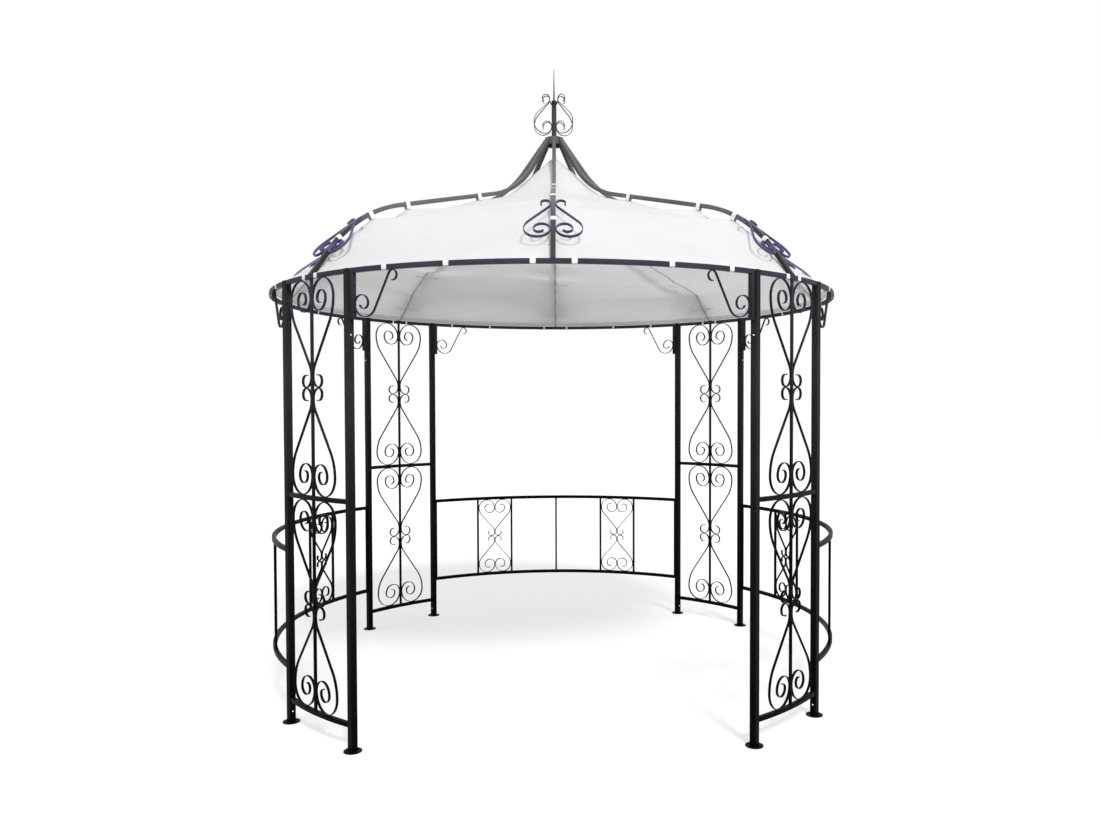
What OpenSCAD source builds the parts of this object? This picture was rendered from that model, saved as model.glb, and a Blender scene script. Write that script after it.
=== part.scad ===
// Round wrought-steel garden gazebo with an ogee roof and a tied-on cloth canopy.
// Millimetres. +Z is up, the ground is z = 0 and the origin is the centre of the plan.
// The entrance faces -Y. Bearings are measured from -Y towards +X.

/* [Plan] */
// Radius of the circle on which the posts, rails and ring are centred
plan_r = 1480; // [1180:5:1780]
// Distance between the two post centres of one column panel
panel_w = 514; // [420:2:620]

/* [Posts] */
// Side of the square post tube
post_w = 30; // [24:1:40]
// Wall of the post tube
post_wall = 1.5; // [1:0.1:3]
// Diameter of the round foot plate
foot_d = 78; // [72:1:110]
// Thickness of the foot plate
foot_t = 4; // [3:0.5:8]
// Diameter of the two ground-anchor holes in each foot plate
foot_hole_d = 8.5; // [6:0.5:10]
// Distance between the two ground-anchor holes
foot_hole_gap = 56; // [54:1:60]

/* [Ring and cross bars] */
// Height of the top of the ring above the ground
ring_top_z = 2020; // [1650:5:2450]
// Side of the square tube of the ring, cross bars and rails
bar_w = 20; // [15:1:25]
// Height of the middle of the lower cross bar
low_bar_z = 110; // [80:5:180]
// Height of the middle of the central cross bar
mid_bar_z = 1050; // [850:5:1280]
// Side of the uprights and balusters
upright_w = 12; // [8:1:16]
// Length of the short leg that bolts each header to its post
leg_len = 212; // [175:1:260]

/* [Balustrades] */
// Height of the middle of the top rail
rail_top_z = 792; // [655:1:955]
// Height of the middle of the bottom rail
rail_low_z = 253; // [205:1:305]
// Bearing of the inner balusters from the middle of a balustrade
baluster_in_a = 12.5; // [10:0.5:15]
// Bearing of the outer balusters from the middle of a balustrade
baluster_out_a = 22; // [18:0.5:27]

/* [Scrollwork] */
// Width of the flat bar that the scrolls are bent from
strap_w = 12; // [8:1:16]
// Thickness of the flat bar
strap_t = 3.5; // [2.5:0.5:5]
// Each half turn of a spiral has this share of the radius before it
coil_ratio = 0.63; // [0.55:0.01:0.68]

/* [Column panel hearts] */
// Lobe radius
panel_lobe_r = 84; // [70:1:100]
// Radius of the side below the lobe
panel_flank_r = 190; // [158:1:222]
// Radius of the bend into the upright
panel_neck_r = 80; // [66:1:96]
// Length of flat bar that lies against the upright
panel_land = 8; // [6:1:20]
// Radius where the hook leaves the upright
panel_root_r = 44; // [36:1:54]
// Radius of the hook's tip
panel_hook_r = 27; // [20:1:33]
// Sweep of the whole hook
panel_hook_a = 290; // [240:5:310]

/* [Balustrade hearts] */
// Radius of the side below the lobe
rail_flank_r = 74; // [61:1:89]
// Radius of the bend at the heart's point
rail_neck_r = 40; // [33:1:48]
// Length of flat bar that runs straight at the heart's point
rail_land = 5; // [4:1:12]
// Radius where the hook leaves the middle line
rail_root_r = 24; // [20:1:29]
// Radius of the hook's tip
rail_hook_r = 20; // [16:1:24]
// Sweep of the whole hook
rail_hook_a = 220; // [180:5:270]

/* [Header scrolls] */
// Lobe radius
header_lobe_r = 56; // [46:1:68]
// Hook radius
header_hook_r = 21; // [17:1:26]
// Sweep of the hook
header_hook_a = 250; // [200:5:270]
// Distance that a scroll reaches along the ring from its leg
header_reach = 225; // [187:1:270]
// Distance that a scroll hangs below the ring
header_drop = 186; // [155:1:190]

/* [Roof ribs] */
// Height of the middle of the hub above the ring
rib_rise = 882; // [735:1:1060]
// Slope of a rib where it stands on the ring, from the horizontal
rib_foot_a = 53; // [46:1:62]
// Slope of a rib on the long shoulder, from the horizontal
rib_shoulder_a = 14.7; // [10:0.5:18]
// Slope of a rib where it meets the hub, from the horizontal
rib_neck_a = 55; // [50:1:62]
// Straight length at the foot of a rib
rib_foot_len = 160; // [120:5:200]
// Radius of the shoulder bend
rib_shoulder_r = 670; // [550:10:800]
// Radius of the neck bend
rib_neck_r = 480; // [400:10:580]

/* [Hub and finial] */
// Width of the octagonal hub across its flats
hub_w = 98; // [82:1:120]
// Height of the hub
hub_h = 40; // [36:1:52]
// Wall of the hub
hub_wall = 4; // [3:0.5:6]
// Side of the finial post
finial_w = 19; // [15:1:23]
// Height of the finial post
finial_h = 206; // [180:2:250]
// Length of the spike above the finial post
spike_h = 168; // [130:2:200]
// Diameter of the spike at its foot
spike_d = 9; // [7:0.5:11]
// Diameter of the stem that goes down through the hub
stem_d = 12; // [10:0.5:15]
// Free height between the stem and the canopy's peak
stem_gap = 5; // [4:0.5:8]
// Lobe radius of the finial scrolls
finial_lobe_r = 62; // [52:1:74]
// Radius of the sides below the finial's lobes
finial_flank_r = 70; // [58:1:84]
// Hook radius of the finial scrolls
finial_hook_r = 22; // [18:1:27]
// Sweep of a finial scroll's hook
finial_hook_a = 240; // [200:5:270]
// Height of the finial scrolls
finial_scroll_h = 234; // [200:2:276]
// Length of flat bar that lies against the finial post
finial_land = 24; // [15:1:30]
// Bearing of the first finial scroll
finial_turn = 45; // [0:1:90]

/* [Rib hearts] */
// Distance along a rib from the ring to the bottom of its heart
crest_start = 110; // [90:2:132]
// Height of a rib heart's plane over the rib's middle line at its two ends
crest_lift = 10; // [8:0.5:12]
// Length of a rib heart
crest_len = 255; // [212:1:306]
// Lobe radius of a rib heart
crest_lobe_r = 53; // [44:1:63]
// Radius of the side above a rib heart's lobe
crest_flank_r = 80; // [66:1:96]
// Hook radius of a rib heart
crest_hook_r = 20; // [16:1:24]
// Sweep of a rib heart's hook
crest_hook_a = 220; // [190:5:260]
// Length of flat bar that lies against the rib
crest_land = 6; // [2:1:12]

/* [Canopy] */
// Thickness of the canopy
cloth_t = 2.5; // [1.5:0.5:4]
// Distance from a rib's middle line to the canopy on the shoulder
cloth_drop = 24; // [19:1:32]
// Slope of the canopy at its peak, from the horizontal
peak_a = 40; // [33:1:48]
// Width of a tie band
tie_w = 24; // [16:1:28]
// Thickness of a tie band
tie_t = 1.5; // [1:0.5:2.5]
// Distances along a rib, from the ring, at which ties hold the canopy
rib_ties = [222, 430, 648, 1100];
// Distance along the ring from an entrance or balustrade rib to its first tie
tie_open = 80; // [60:1:100]
// Distance along the ring from the first tie to the second
tie_next = 370; // [305:5:445]
// Free width of ring between the third tie and a corner scroll's hook
tie_hook_gap = 33; // [27:1:40]
// Distance along the ring by which the two middle ties of a side stand to the right
tie_drift = 28; // [23:1:34]
// Distance along the ring from a column panel rib to its first tie
tie_panel = 50; // [40:1:56]

/* [Hidden] */
$fn = 96;
eps = 0.01;
bend_tol = 0.8;              // chords stay this near a bend's true arc
weld_gap = 0.2;              // left between a scroll's curve and what it touches
cloth_gap = 0.3;             // left between cloth and steel
stem_fit = 0.3;              // left round the stem in the hub
gore_a = 45;                 // one canopy gore from rib to rib
panel_at = [45, 135, 225, 315];
open_at = [0, 90, 180, 270];

ring_z = ring_top_z - bar_w/2;                      // middle of the ring's section
post_y = sqrt(pow(plan_r, 2) - pow(panel_w/2, 2));  // post centres in a panel's frame
post_face = panel_w/2 + post_w/2;                   // post face that looks at an opening
post_a = asin(panel_w/2/plan_r);                    // bearing of a post from its panel's middle
leg_x = post_face + bar_w/2;
leg_y = sqrt(pow(plan_r, 2) - pow(leg_x, 2));
leg_a = asin(leg_x/plan_r);
big = 4*plan_r;

// ---- bent flat bar ------------------------------------------------------

// A bent bar is a list of legs walked one after another in a plane.
// [radius, sweep] is an arc, with a positive sweep turning left, and
// [length, 0] is a straight. A place on it is [point, heading].
function leg_end(s, p, h) = s[1] == 0
  ? [p + s[0]*[cos(h), sin(h)], h]
  : let (k = s[0]*sign(s[1]), g = h + s[1])
    [p + k*[-sin(h) + sin(g), cos(h) - cos(g)], g];

// Steps that keep an arc's chords within bend_tol of it.
function steps(s) = s[1] == 0 ? 1
  : max(2, ceil(abs(s[1])/min(22, 2*acos(1 - bend_tol/s[0]))));
function walk(legs, p, h, i = 0) = i == len(legs) ? []
  : let (s = legs[i], n = steps(s), e = leg_end(s, p, h))
    concat([for (j = [1:n]) leg_end(s[1] == 0 ? s : [s[0], s[1]*j/n], p, h)],
      walk(legs, e[0], e[1], i + 1));
function beside(places, d) = [for (q = places) q[0] + d*[-sin(q[1]), cos(q[1])]];
function back(v) = [for (i = [len(v) - 1:-1:0]) v[i]];

module bent_bar(legs, p, h, t, w) {
  line = concat([[p, h]], walk(legs, p, h));
  linear_extrude(height = w, center = true)
    polygon(concat(beside(line, t/2), back(beside(line, -t/2))));
}

// Common inner tangent of two bends that turn opposite ways:
// [its heading, its length].
function s_line(c1, r1, c2, r2) =
  let (v = c2 - c1, d = norm(v))
  [atan2(v[1], v[0]) + asin((r1 + r2)/d), sqrt(d*d - pow(r1 + r2, 2))];

// Where a leg starts that ends at [p, h], and where a chain of legs does.
function leg_start(s, p, h) = let (k = s[0]*sign(s[1]), g = h - s[1])
  [p - k*[-sin(g) + sin(h), cos(g) - cos(h)], g];
function chain_start(legs, p, h, i) = i < 0 ? [p, h]
  : let (b = leg_start(legs[i], p, h)) chain_start(legs, b[0], b[1], i - 1);

// A spiral's half turns shrink inwards from its lobe of radius r and finish
// with a tip of tip_a degrees.
function coil(r, turns, tip_a) = concat([[r*pow(coil_ratio, turns + 1), tip_a]],
  [for (i = [turns:-1:1]) [r*pow(coil_ratio, i), 180]]);

// A scroll is a coil whose last half turn ends heading down at p, and then
// the rest of its legs.
module scroll(coil_legs, p, legs) {
  b = chain_start(coil_legs, p, -90, len(coil_legs) - 1);
  bent_bar(concat(coil_legs, legs), b[0], b[1], strap_t, strap_w);
}

// Half of a heart in its own plane: the bar across its foot lies on y = 0, the
// upright beside it on x = 0, and the hook ends under the line y = top. bends
// are the radii of the lobe, the flank above it, the neck that turns onto the
// upright, the hook's first quarter turn and its tip.
// Flank and neck turn opposite ways, so they need a height between them that
// grows with their radii. In a space too low for both they tighten together.
module half_heart(top, bends, hook_a, land, turns, tip_a, side = 0) {
  x0 = strap_t/2 + side;
  y1 = strap_t/2 + weld_gap + bends[0];
  y2 = top - weld_gap/2 - strap_t/2 - bends[3] - land;
  room = bends[0] + pow(y2 - y1, 2)/4/bends[0];
  fit = min(1, 0.9*room/(bends[1] + bends[2]));
  flank = fit*bends[1];
  neck = fit*bends[2];
  line = s_line([x0 + 2*bends[0] - flank, y1], flank, [x0 + neck, y2], neck);
  scroll(coil(bends[0], turns, tip_a), [x0, y1],
    [[bends[0], 180], [flank, line[0] - 90], [line[1], 0], [neck, 90 - line[0]],
     [land, 0], [bends[3], -90], [bends[4], 90 - hook_a]]);
}

// Scroll in the corner between a leg beside x = 0 and a ring above y = 0. Its
// plane leans away from the leg's face, so it stands off by side.
module corner_scroll(reach, drop, lobe, hook, hook_a, side) {
  x0 = strap_t/2 + side;
  c1 = [x0 + lobe, -drop + strap_t/2 + lobe];
  c2 = [reach - strap_t/2 - hook, -weld_gap - strap_t/2 - hook];
  line = s_line(c1, lobe, c2, hook);
  scroll(coil(lobe, 1, 165), [x0, c1[1]], [[lobe, 90 + line[0]], [line[1], 0], [hook, -hook_a]]);
}

module both_sides() { children(); mirror([1, 0, 0]) children(); }
module upright_plane() rotate([90, 0, 0]) children();
module bearing(a) rotate([0, 0, a]) children();

// ---- columns --------------------------------------------------------------

// n counts the posts round the plan from the entrance's right-hand post.
module post(n) color([0.10, 0.10, 0.11]) {
  p = floor((n - 1)/2);
  s = (n - 1) % 2 == 0 ? -1 : 1;
  bearing(panel_at[p]) translate([s*panel_w/2, -post_y, foot_t]) difference() {
    translate([-post_w/2, -post_w/2, 0]) cube([post_w, post_w, ring_top_z - foot_t]);
    translate([-post_w/2 + post_wall, -post_w/2 + post_wall, -1])
      cube([post_w - 2*post_wall, post_w - 2*post_wall, ring_top_z - foot_t - post_wall + 1]);
  }
}

module foot_plates() color([0.10, 0.10, 0.11])
  for (a = panel_at, s = [-1, 1])
    bearing(a) translate([s*panel_w/2, -post_y, 0]) difference() {
      cylinder(d = foot_d, h = foot_t);
      for (k = [-1, 1]) translate([0, k*foot_hole_gap/2, -1])
        cylinder(d = foot_hole_d, h = foot_t + 2, $fn = 32);
    }

// A square bar bent to the plan circle, half_a to each side of -Y.
module arc_bar(half_a) rotate([0, 0, -90 - half_a])
  rotate_extrude(angle = 2*half_a, $fn = 288) translate([plan_r - bar_w/2, -bar_w/2]) square(bar_w);

// Cross bars and centre upright of one column panel, between its posts.
module panel_frame(i) color([0.10, 0.10, 0.11]) bearing(panel_at[i]) union() {
  inner = panel_w - post_w;
  intersection() {
    union() for (z = [low_bar_z, mid_bar_z, ring_z]) translate([0, 0, z]) arc_bar(post_a);
    translate([-inner/2, -big/2, 0]) cube([inner, big, big]);
  }
  translate([-upright_w/2, -plan_r - upright_w/2, low_bar_z])
    cube([upright_w, upright_w, ring_z - low_bar_z]);
}

// Four half hearts in each of a panel's two spaces.
module panel_scrolls(i) color([0.10, 0.10, 0.11]) bearing(panel_at[i])
  for (z = [[low_bar_z + bar_w/2, mid_bar_z - bar_w/2], [mid_bar_z + bar_w/2, ring_z - bar_w/2]])
    translate([0, -plan_r, (z[0] + z[1])/2]) upright_plane()
      both_sides() for (m = [0, 1]) mirror([0, m, 0])
        translate([upright_w/2, -(z[1] - z[0])/2, 0])
          half_heart((z[1] - z[0])/2,
            [panel_lobe_r, panel_flank_r, panel_neck_r, panel_root_r, panel_hook_r],
            panel_hook_a, panel_land, 2, 100);

// ---- headers and balustrades ------------------------------------------------

// What lies beyond the post faces at both ends of an opening centred on -Y.
module beyond_posts() for (s = [-1, 1])
  bearing(s*gore_a) translate([s > 0 ? -post_face : post_face - big, -big/2, -1])
    cube([big, big, big]);

module header(a) color([0.10, 0.10, 0.11]) bearing(a) union() {
  difference() {
    translate([0, 0, ring_z]) arc_bar(gore_a - post_a);
    beyond_posts();
  }
  for (s = [-1, 1]) bearing(s*gore_a)
    translate([-s*leg_x - bar_w/2, -leg_y - bar_w/2, ring_top_z - leg_len])
      cube([bar_w, bar_w, leg_len - bar_w/2]);
}

// A header scroll stands in the plane of the ring's chord that it reaches along.
module header_scrolls() color([0.10, 0.10, 0.11]) {
  lean = leg_a + header_reach/2/plan_r*180/PI;
  for (a = open_at, s = [0, 1])
    bearing(a) mirror([s, 0, 0]) bearing(-gore_a)
      translate([leg_x + bar_w/2, -leg_y, ring_z - bar_w/2]) bearing(lean) upright_plane()
        corner_scroll(header_reach, header_drop, header_lobe_r, header_hook_r, header_hook_a,
          (weld_gap + strap_w/2*sin(lean))/cos(lean));
}

module rails(a) color([0.10, 0.10, 0.11]) bearing(a)
  for (z = [rail_low_z, rail_top_z]) difference() {
    translate([0, 0, z]) arc_bar(gore_a - post_a);
    beyond_posts();
  }

module balusters(a) color([0.10, 0.10, 0.11]) bearing(a) {
  z0 = rail_low_z + bar_w/2;
  h = rail_top_z - rail_low_z - bar_w;
  for (b = [0, baluster_in_a, -baluster_in_a, baluster_out_a, -baluster_out_a])
    bearing(b) translate([-upright_w/2, -plan_r - upright_w/2, z0]) cube([upright_w, upright_w, h]);
  for (s = [-1, 1]) bearing(s*gore_a)
    translate([-s*(post_face + upright_w/2) - upright_w/2, -leg_y - upright_w/2, z0])
      cube([upright_w, upright_w, h]);
}

// Two hearts meet point to point in each pair of balusters. Their lobes fill
// the clear width, so the lobe radius comes from it.
module rail_scrolls(a) color([0.10, 0.10, 0.11]) bearing(a) {
  mid = (baluster_in_a + baluster_out_a)/2;
  half = (baluster_out_a - baluster_in_a)/2;
  clear = plan_r*sin(half) - (upright_w/2)*(cos(half) + sin(half));
  lobe = (clear - 2*weld_gap - strap_t)/2;
  top = (rail_top_z - rail_low_z - bar_w)/2;
  for (s = [-1, 1]) bearing(s*mid)
    translate([0, -plan_r*cos(half), (rail_low_z + rail_top_z)/2]) upright_plane()
      both_sides() for (m = [0, 1]) mirror([0, m, 0]) translate([0, -top, 0])
        half_heart(top, [lobe, rail_flank_r, rail_neck_r, rail_root_r, rail_hook_r],
          rail_hook_a, rail_land, 1, 120, weld_gap/2);
}

// ---- roof frame ---------------------------------------------------------------

// A rib's middle line in its own plane, [distance outward, height above the
// ring]: straight foot, shoulder bend, straight shoulder, neck bend, straight
// neck. The shoulder and neck straights are as long as it takes to reach the hub.
rib_h0 = 180 - rib_foot_a;
rib_h1 = 180 - rib_shoulder_a;
rib_h2 = 180 - rib_neck_a;
rib_s1 = [rib_shoulder_r, rib_h1 - rib_h0];
rib_s2 = [rib_neck_r, rib_h2 - rib_h1];
rib_p1 = leg_end([rib_foot_len, 0], [plan_r, 0], rib_h0);
rib_p2 = leg_end(rib_s1, rib_p1[0], rib_h0);
rib_bend2 = leg_end(rib_s2, [0, 0], rib_h1)[0];
rib_left = [hub_w/2, rib_rise] - rib_p2[0] - rib_bend2;
rib_u = [cos(rib_h1), sin(rib_h1)];
rib_v = [cos(rib_h2), sin(rib_h2)];
rib_det = rib_u[0]*rib_v[1] - rib_u[1]*rib_v[0];
rib_l1 = (rib_left[0]*rib_v[1] - rib_left[1]*rib_v[0])/rib_det;
rib_l2 = (rib_u[0]*rib_left[1] - rib_u[1]*rib_left[0])/rib_det;
rib_legs = [[rib_foot_len, 0], rib_s1, [rib_l1, 0], rib_s2, [rib_l2, 0]];

// Length of a leg, and the place at distance d along a chain of legs.
function leg_len_of(s) = s[1] == 0 ? s[0] : s[0]*abs(s[1])*PI/180;
function part_leg(s, d) = s[1] == 0 ? [d, 0] : [s[0], s[1]*d/leg_len_of(s)];
function place(legs, p, h, d, i = 0) =
  i == len(legs) - 1 || d <= leg_len_of(legs[i])
    ? leg_end(part_leg(legs[i], d), p, h)
    : let (e = leg_end(legs[i], p, h)) place(legs, e[0], e[1], d - leg_len_of(legs[i]), i + 1);
function rib_place(d) = place(rib_legs, [plan_r, 0], rib_h0, d);

// Turns a rib's plane upright, pointing outward along -Y.
module rib_plane() translate([0, 0, ring_top_z]) rotate([0, 0, -90]) rotate([90, 0, 0]) children();

module rib(n) color([0.22, 0.21, 0.24]) bearing((n - 1)*gore_a) {
  over = bar_w;
  rib_plane() intersection() {
    bent_bar(concat([[rib_foot_len + over, 0], rib_s1, [rib_l1, 0], rib_s2, [rib_l2 + over, 0]]),
      [plan_r, 0] - over*[cos(rib_h0), sin(rib_h0)], rib_h0, bar_w, bar_w);
    translate([hub_w/2, 0, -big/2]) cube([plan_r + big, big, big]);
  }
}

// A pair of half hearts on each rib, in the plane that slopes with its foot and
// stands a little over the bar.
function over_rib(d, up) = let (q = rib_place(d)) q[0] + up*[sin(q[1]), -cos(q[1])];
module rib_hearts() color([0.10, 0.10, 0.11]) {
  a = over_rib(crest_start, crest_lift);
  b = over_rib(crest_start + crest_len, crest_lift);
  slope = atan2(b[1] - a[1], a[0] - b[0]);
  for (n = [0:7]) bearing(n*gore_a) translate([0, -a[0], ring_top_z + a[1]])
    rotate([slope, 0, 0]) both_sides() translate([bar_w/2, 0, 0])
      half_heart(crest_len, [crest_lobe_r, crest_flank_r, 35, crest_hook_r, crest_hook_r],
        crest_hook_a, crest_land, 1, 150);
}

module hub() color([0.22, 0.21, 0.24]) translate([0, 0, ring_top_z + rib_rise - hub_h/2])
  rotate([0, 0, 22.5]) difference() {
    cylinder(r = hub_w/2/cos(22.5), h = hub_h, $fn = 8);
    translate([0, 0, -1]) cylinder(r = (hub_w/2 - hub_wall)/cos(22.5), h = hub_h - hub_wall + 1, $fn = 8);
    cylinder(d = stem_d + 2*stem_fit, h = 2*hub_h, $fn = 48);
  }

finial_z = ring_top_z + rib_rise + hub_h/2;
module finial_post() color([0.14, 0.14, 0.15]) translate([0, 0, finial_z]) bearing(finial_turn) union() {
  translate([0, 0, -stem_len]) cylinder(d = stem_d, h = stem_len + eps, $fn = 48);
  translate([-finial_w/2, -finial_w/2, 0]) cube([finial_w, finial_w, finial_h]);
  translate([0, 0, finial_h - eps]) cylinder(d1 = spike_d, d2 = spike_d/3, h = spike_h + eps, $fn = 32);
}

module finial_scrolls() color([0.14, 0.14, 0.15]) translate([0, 0, finial_z])
  for (k = [0:3]) bearing(finial_turn + k*90) upright_plane()
    translate([finial_w/2, 0, 0])
      half_heart(finial_scroll_h, [finial_lobe_r, finial_flank_r, 30, finial_hook_r, finial_hook_r],
        finial_hook_a, finial_land, 1, 140);

// ---- canopy ---------------------------------------------------------------------

// The canopy hangs under the ribs. Its seam line starts at the hem, just above
// the ring and inside the ribs' feet, runs under the rib, leaves it where the
// neck reaches the peak's slope, and goes straight to the peak.
rows = 26;
cloth_foot = bar_w/2 + 1.5;
neck_turn = (peak_a - rib_shoulder_a)/(rib_neck_a - rib_shoulder_a);
seam_len = leg_len_of(rib_legs[0]) + leg_len_of(rib_legs[1]) + rib_l1
  + leg_len_of(rib_legs[3])*neck_turn;
function ease(t) = let (u = min(1, max(0, t))) u*u*(3 - 2*u);
function seam_point(d) = let (q = rib_place(d),
    k = cloth_foot + (cloth_drop - cloth_foot)*ease(d/rib_foot_len))
  q[0] + k*[-sin(q[1]), cos(q[1])];
hem_d = (cloth_gap + (cloth_foot + cloth_t)*cos(rib_foot_a))/sin(rib_foot_a);
seam_top = seam_point(seam_len);
peak_z = seam_top[1] + seam_top[0]*tan(peak_a);
stem_len = rib_rise + hub_h/2 - peak_z - stem_gap;
seam = concat(
  [for (i = [0:rows]) seam_point(hem_d + (seam_len - hem_d)*i/rows)],
  [for (i = [1:4]) [seam_top[0]*(1 - i/4) + (i == 4 ? 2 : 0), seam_top[1] + (peak_z - seam_top[1])*i/4]]);

// One gore, from rib to rib. It follows the ring at the hem and goes flat
// between the ribs above it.
cols = 6;
seam_half = 0.2;
function flat_share(z) = ease(z/160);
function gore_r(r, z, a) = let (c = r*cos(gore_a/2)/cos(a)) r + (c - r)*flat_share(z);
module gore() {
  n = len(seam);
  m = cols + 1;
  span = gore_a/2;
  function row_half(r) = max(span*0.2, span - seam_half/max(r, 1)*180/PI);
  function at(i, j, k) =
    let (p = seam[i], q = seam[max(i - 1, 0)], s = seam[min(i + 1, n - 1)],
      d = (s - q)/norm(s - q),
      e = p + (k == 0 ? 0 : cloth_t)*[-d[1], d[0]],
      r = max(e[0], 0.6), a = row_half(r)*(2*j/cols - 1), g = gore_r(r, e[1], a))
    [g*sin(a), -g*cos(a), ring_top_z + e[1]];
  pts = [for (k = [0, 1], i = [0:n - 1], j = [0:cols]) at(i, j, k)];
  function id(k, i, j) = k*n*m + i*m + j;
  faces = concat(
    [for (i = [0:n - 2], j = [0:cols - 1]) each [
      [id(0, i, j), id(0, i, j + 1), id(0, i + 1, j + 1)], [id(0, i, j), id(0, i + 1, j + 1), id(0, i + 1, j)],
      [id(1, i, j), id(1, i + 1, j + 1), id(1, i, j + 1)], [id(1, i, j), id(1, i + 1, j), id(1, i + 1, j + 1)]]],
    [for (j = [0:cols - 1]) each [
      [id(0, 0, j), id(1, 0, j + 1), id(0, 0, j + 1)], [id(0, 0, j), id(1, 0, j), id(1, 0, j + 1)],
      [id(0, n - 1, j), id(0, n - 1, j + 1), id(1, n - 1, j + 1)], [id(0, n - 1, j), id(1, n - 1, j + 1), id(1, n - 1, j)]]],
    [for (i = [0:n - 2]) each [
      [id(0, i, 0), id(0, i + 1, 0), id(1, i + 1, 0)], [id(0, i, 0), id(1, i + 1, 0), id(1, i, 0)],
      [id(0, i, cols), id(1, i + 1, cols), id(0, i + 1, cols)], [id(0, i, cols), id(1, i, cols), id(1, i + 1, cols)]]]);
  polyhedron(pts, faces);
}

module canopy() color([0.95, 0.95, 0.94]) for (n = [0:7]) bearing((n + 0.5)*gore_a) gore();

// A band round the ring that comes up to the hem inside it.
module ring_tie() {
  out = plan_r + bar_w/2 + cloth_gap;
  in = seam[0][0] + cloth_gap + tie_t;
  h = bar_w + 2*cloth_gap;
  translate([0, 0, ring_z - h/2]) difference() {
    translate([-tie_w/2, -out - tie_t, -tie_t]) cube([tie_w, out - in + 2*tie_t, h + 2*tie_t]);
    translate([-tie_w, -out, 0]) cube([2*tie_w, out - in, h]);
  }
}
tie_hook_x = leg_x + bar_w/2 + header_reach - strap_t - 2*header_hook_r - tie_hook_gap - tie_w/2;
tie_at = [tie_open/plan_r*180/PI, (tie_open + tie_next)/plan_r*180/PI,
  gore_a - asin(tie_hook_x/plan_r), gore_a - tie_panel/plan_r*180/PI];
module ring_ties() color([0.95, 0.95, 0.94])
  for (a = open_at, s = [-1, 1], i = [0:3])
    bearing(a + s*tie_at[i] + (i == 1 || i == 2 ? tie_drift/plan_r*180/PI : 0)) ring_tie();

// A band round a rib that reaches down to the canopy's seam.
module rib_tie(d) {
  q = rib_place(d);
  low = norm(seam_point(d) - q[0]) - cloth_gap;
  rib_plane() translate([q[0][0], q[0][1], 0]) rotate([0, 0, q[1]]) difference() {
    translate([-tie_w/2, -bar_w/2 - cloth_gap - tie_t, -bar_w/2 - cloth_gap - tie_t])
      cube([tie_w, bar_w/2 + cloth_gap + tie_t + low, bar_w + 2*cloth_gap + 2*tie_t]);
    translate([-tie_w, -bar_w/2 - cloth_gap, -bar_w/2 - cloth_gap])
      cube([2*tie_w, bar_w/2 + cloth_gap + low - tie_t, bar_w + 2*cloth_gap]);
  }
}
module rib_tie_bands() color([0.95, 0.95, 0.94])
  for (n = [0:7], d = rib_ties) bearing(n*gore_a) rib_tie(d);

// ---- assembly ---------------------------------------------------------------------

for (i = [1:8]) post(i);
foot_plates();
for (i = [1:4]) panel_frame(i - 1);
for (i = [1:4]) panel_scrolls(i - 1);
header(0);  // header_front
header(90);  // header_right
header(180);  // header_back
header(270);  // header_left
header_scrolls();
rails(90);  // rails_right
rails(180);  // rails_back
rails(270);  // rails_left
balusters(90);  // balusters_right
balusters(180);  // balusters_back
balusters(270);  // balusters_left
rail_scrolls(90);  // rail_scrolls_right
rail_scrolls(180);  // rail_scrolls_back
rail_scrolls(270);  // rail_scrolls_left
for (i = [1:8]) rib(i);
rib_hearts();
hub();
finial_post();
finial_scrolls();
canopy();
ring_ties();
rib_tie_bands();  // rib_ties
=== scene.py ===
# %% [markdown]
# # A round garden gazebo
#
# The gazebo is a kit of powder-coated steel: eight square posts in four
# scrollwork columns, a ring of square bar on top of them, three curved
# balustrades, eight S-shaped ribs that meet in a small hub, a finial, and a
# white cloth canopy tied underneath the ribs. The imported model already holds
# every steel piece at its real size. This script gives the straight steel its
# rounded edges and its coating, bends the scrolls and ribs again with smooth
# curves, and makes the cloth.

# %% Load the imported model
import math
from types import SimpleNamespace

import bmesh
import bpy
import numpy as np
from mathutils import Matrix, Vector


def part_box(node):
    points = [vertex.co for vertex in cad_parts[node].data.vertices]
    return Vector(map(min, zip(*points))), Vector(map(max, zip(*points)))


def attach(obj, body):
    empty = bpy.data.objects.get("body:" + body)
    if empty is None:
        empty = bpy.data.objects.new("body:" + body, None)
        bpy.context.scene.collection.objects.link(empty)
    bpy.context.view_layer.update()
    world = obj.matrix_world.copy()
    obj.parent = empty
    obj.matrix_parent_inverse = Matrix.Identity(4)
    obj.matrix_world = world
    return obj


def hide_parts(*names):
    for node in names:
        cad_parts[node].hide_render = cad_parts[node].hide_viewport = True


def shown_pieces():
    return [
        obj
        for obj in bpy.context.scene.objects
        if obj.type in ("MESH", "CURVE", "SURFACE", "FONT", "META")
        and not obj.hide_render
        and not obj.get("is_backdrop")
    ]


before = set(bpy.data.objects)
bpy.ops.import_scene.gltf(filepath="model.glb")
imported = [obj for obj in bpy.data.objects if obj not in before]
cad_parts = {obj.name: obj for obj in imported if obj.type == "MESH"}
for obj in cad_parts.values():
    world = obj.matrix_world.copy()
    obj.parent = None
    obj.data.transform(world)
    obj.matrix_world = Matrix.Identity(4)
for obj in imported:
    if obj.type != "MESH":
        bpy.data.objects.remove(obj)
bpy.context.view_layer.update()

# %% [markdown]
# ## The camera
#
# A camera is a place, a direction and a lens. This one stands a little below
# eye height, 4.9 m in front of the middle of the gazebo. Its direction is
# written as three turns: sideways about the vertical, up or down about its own
# sideways axis, and a very small roll.

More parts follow.
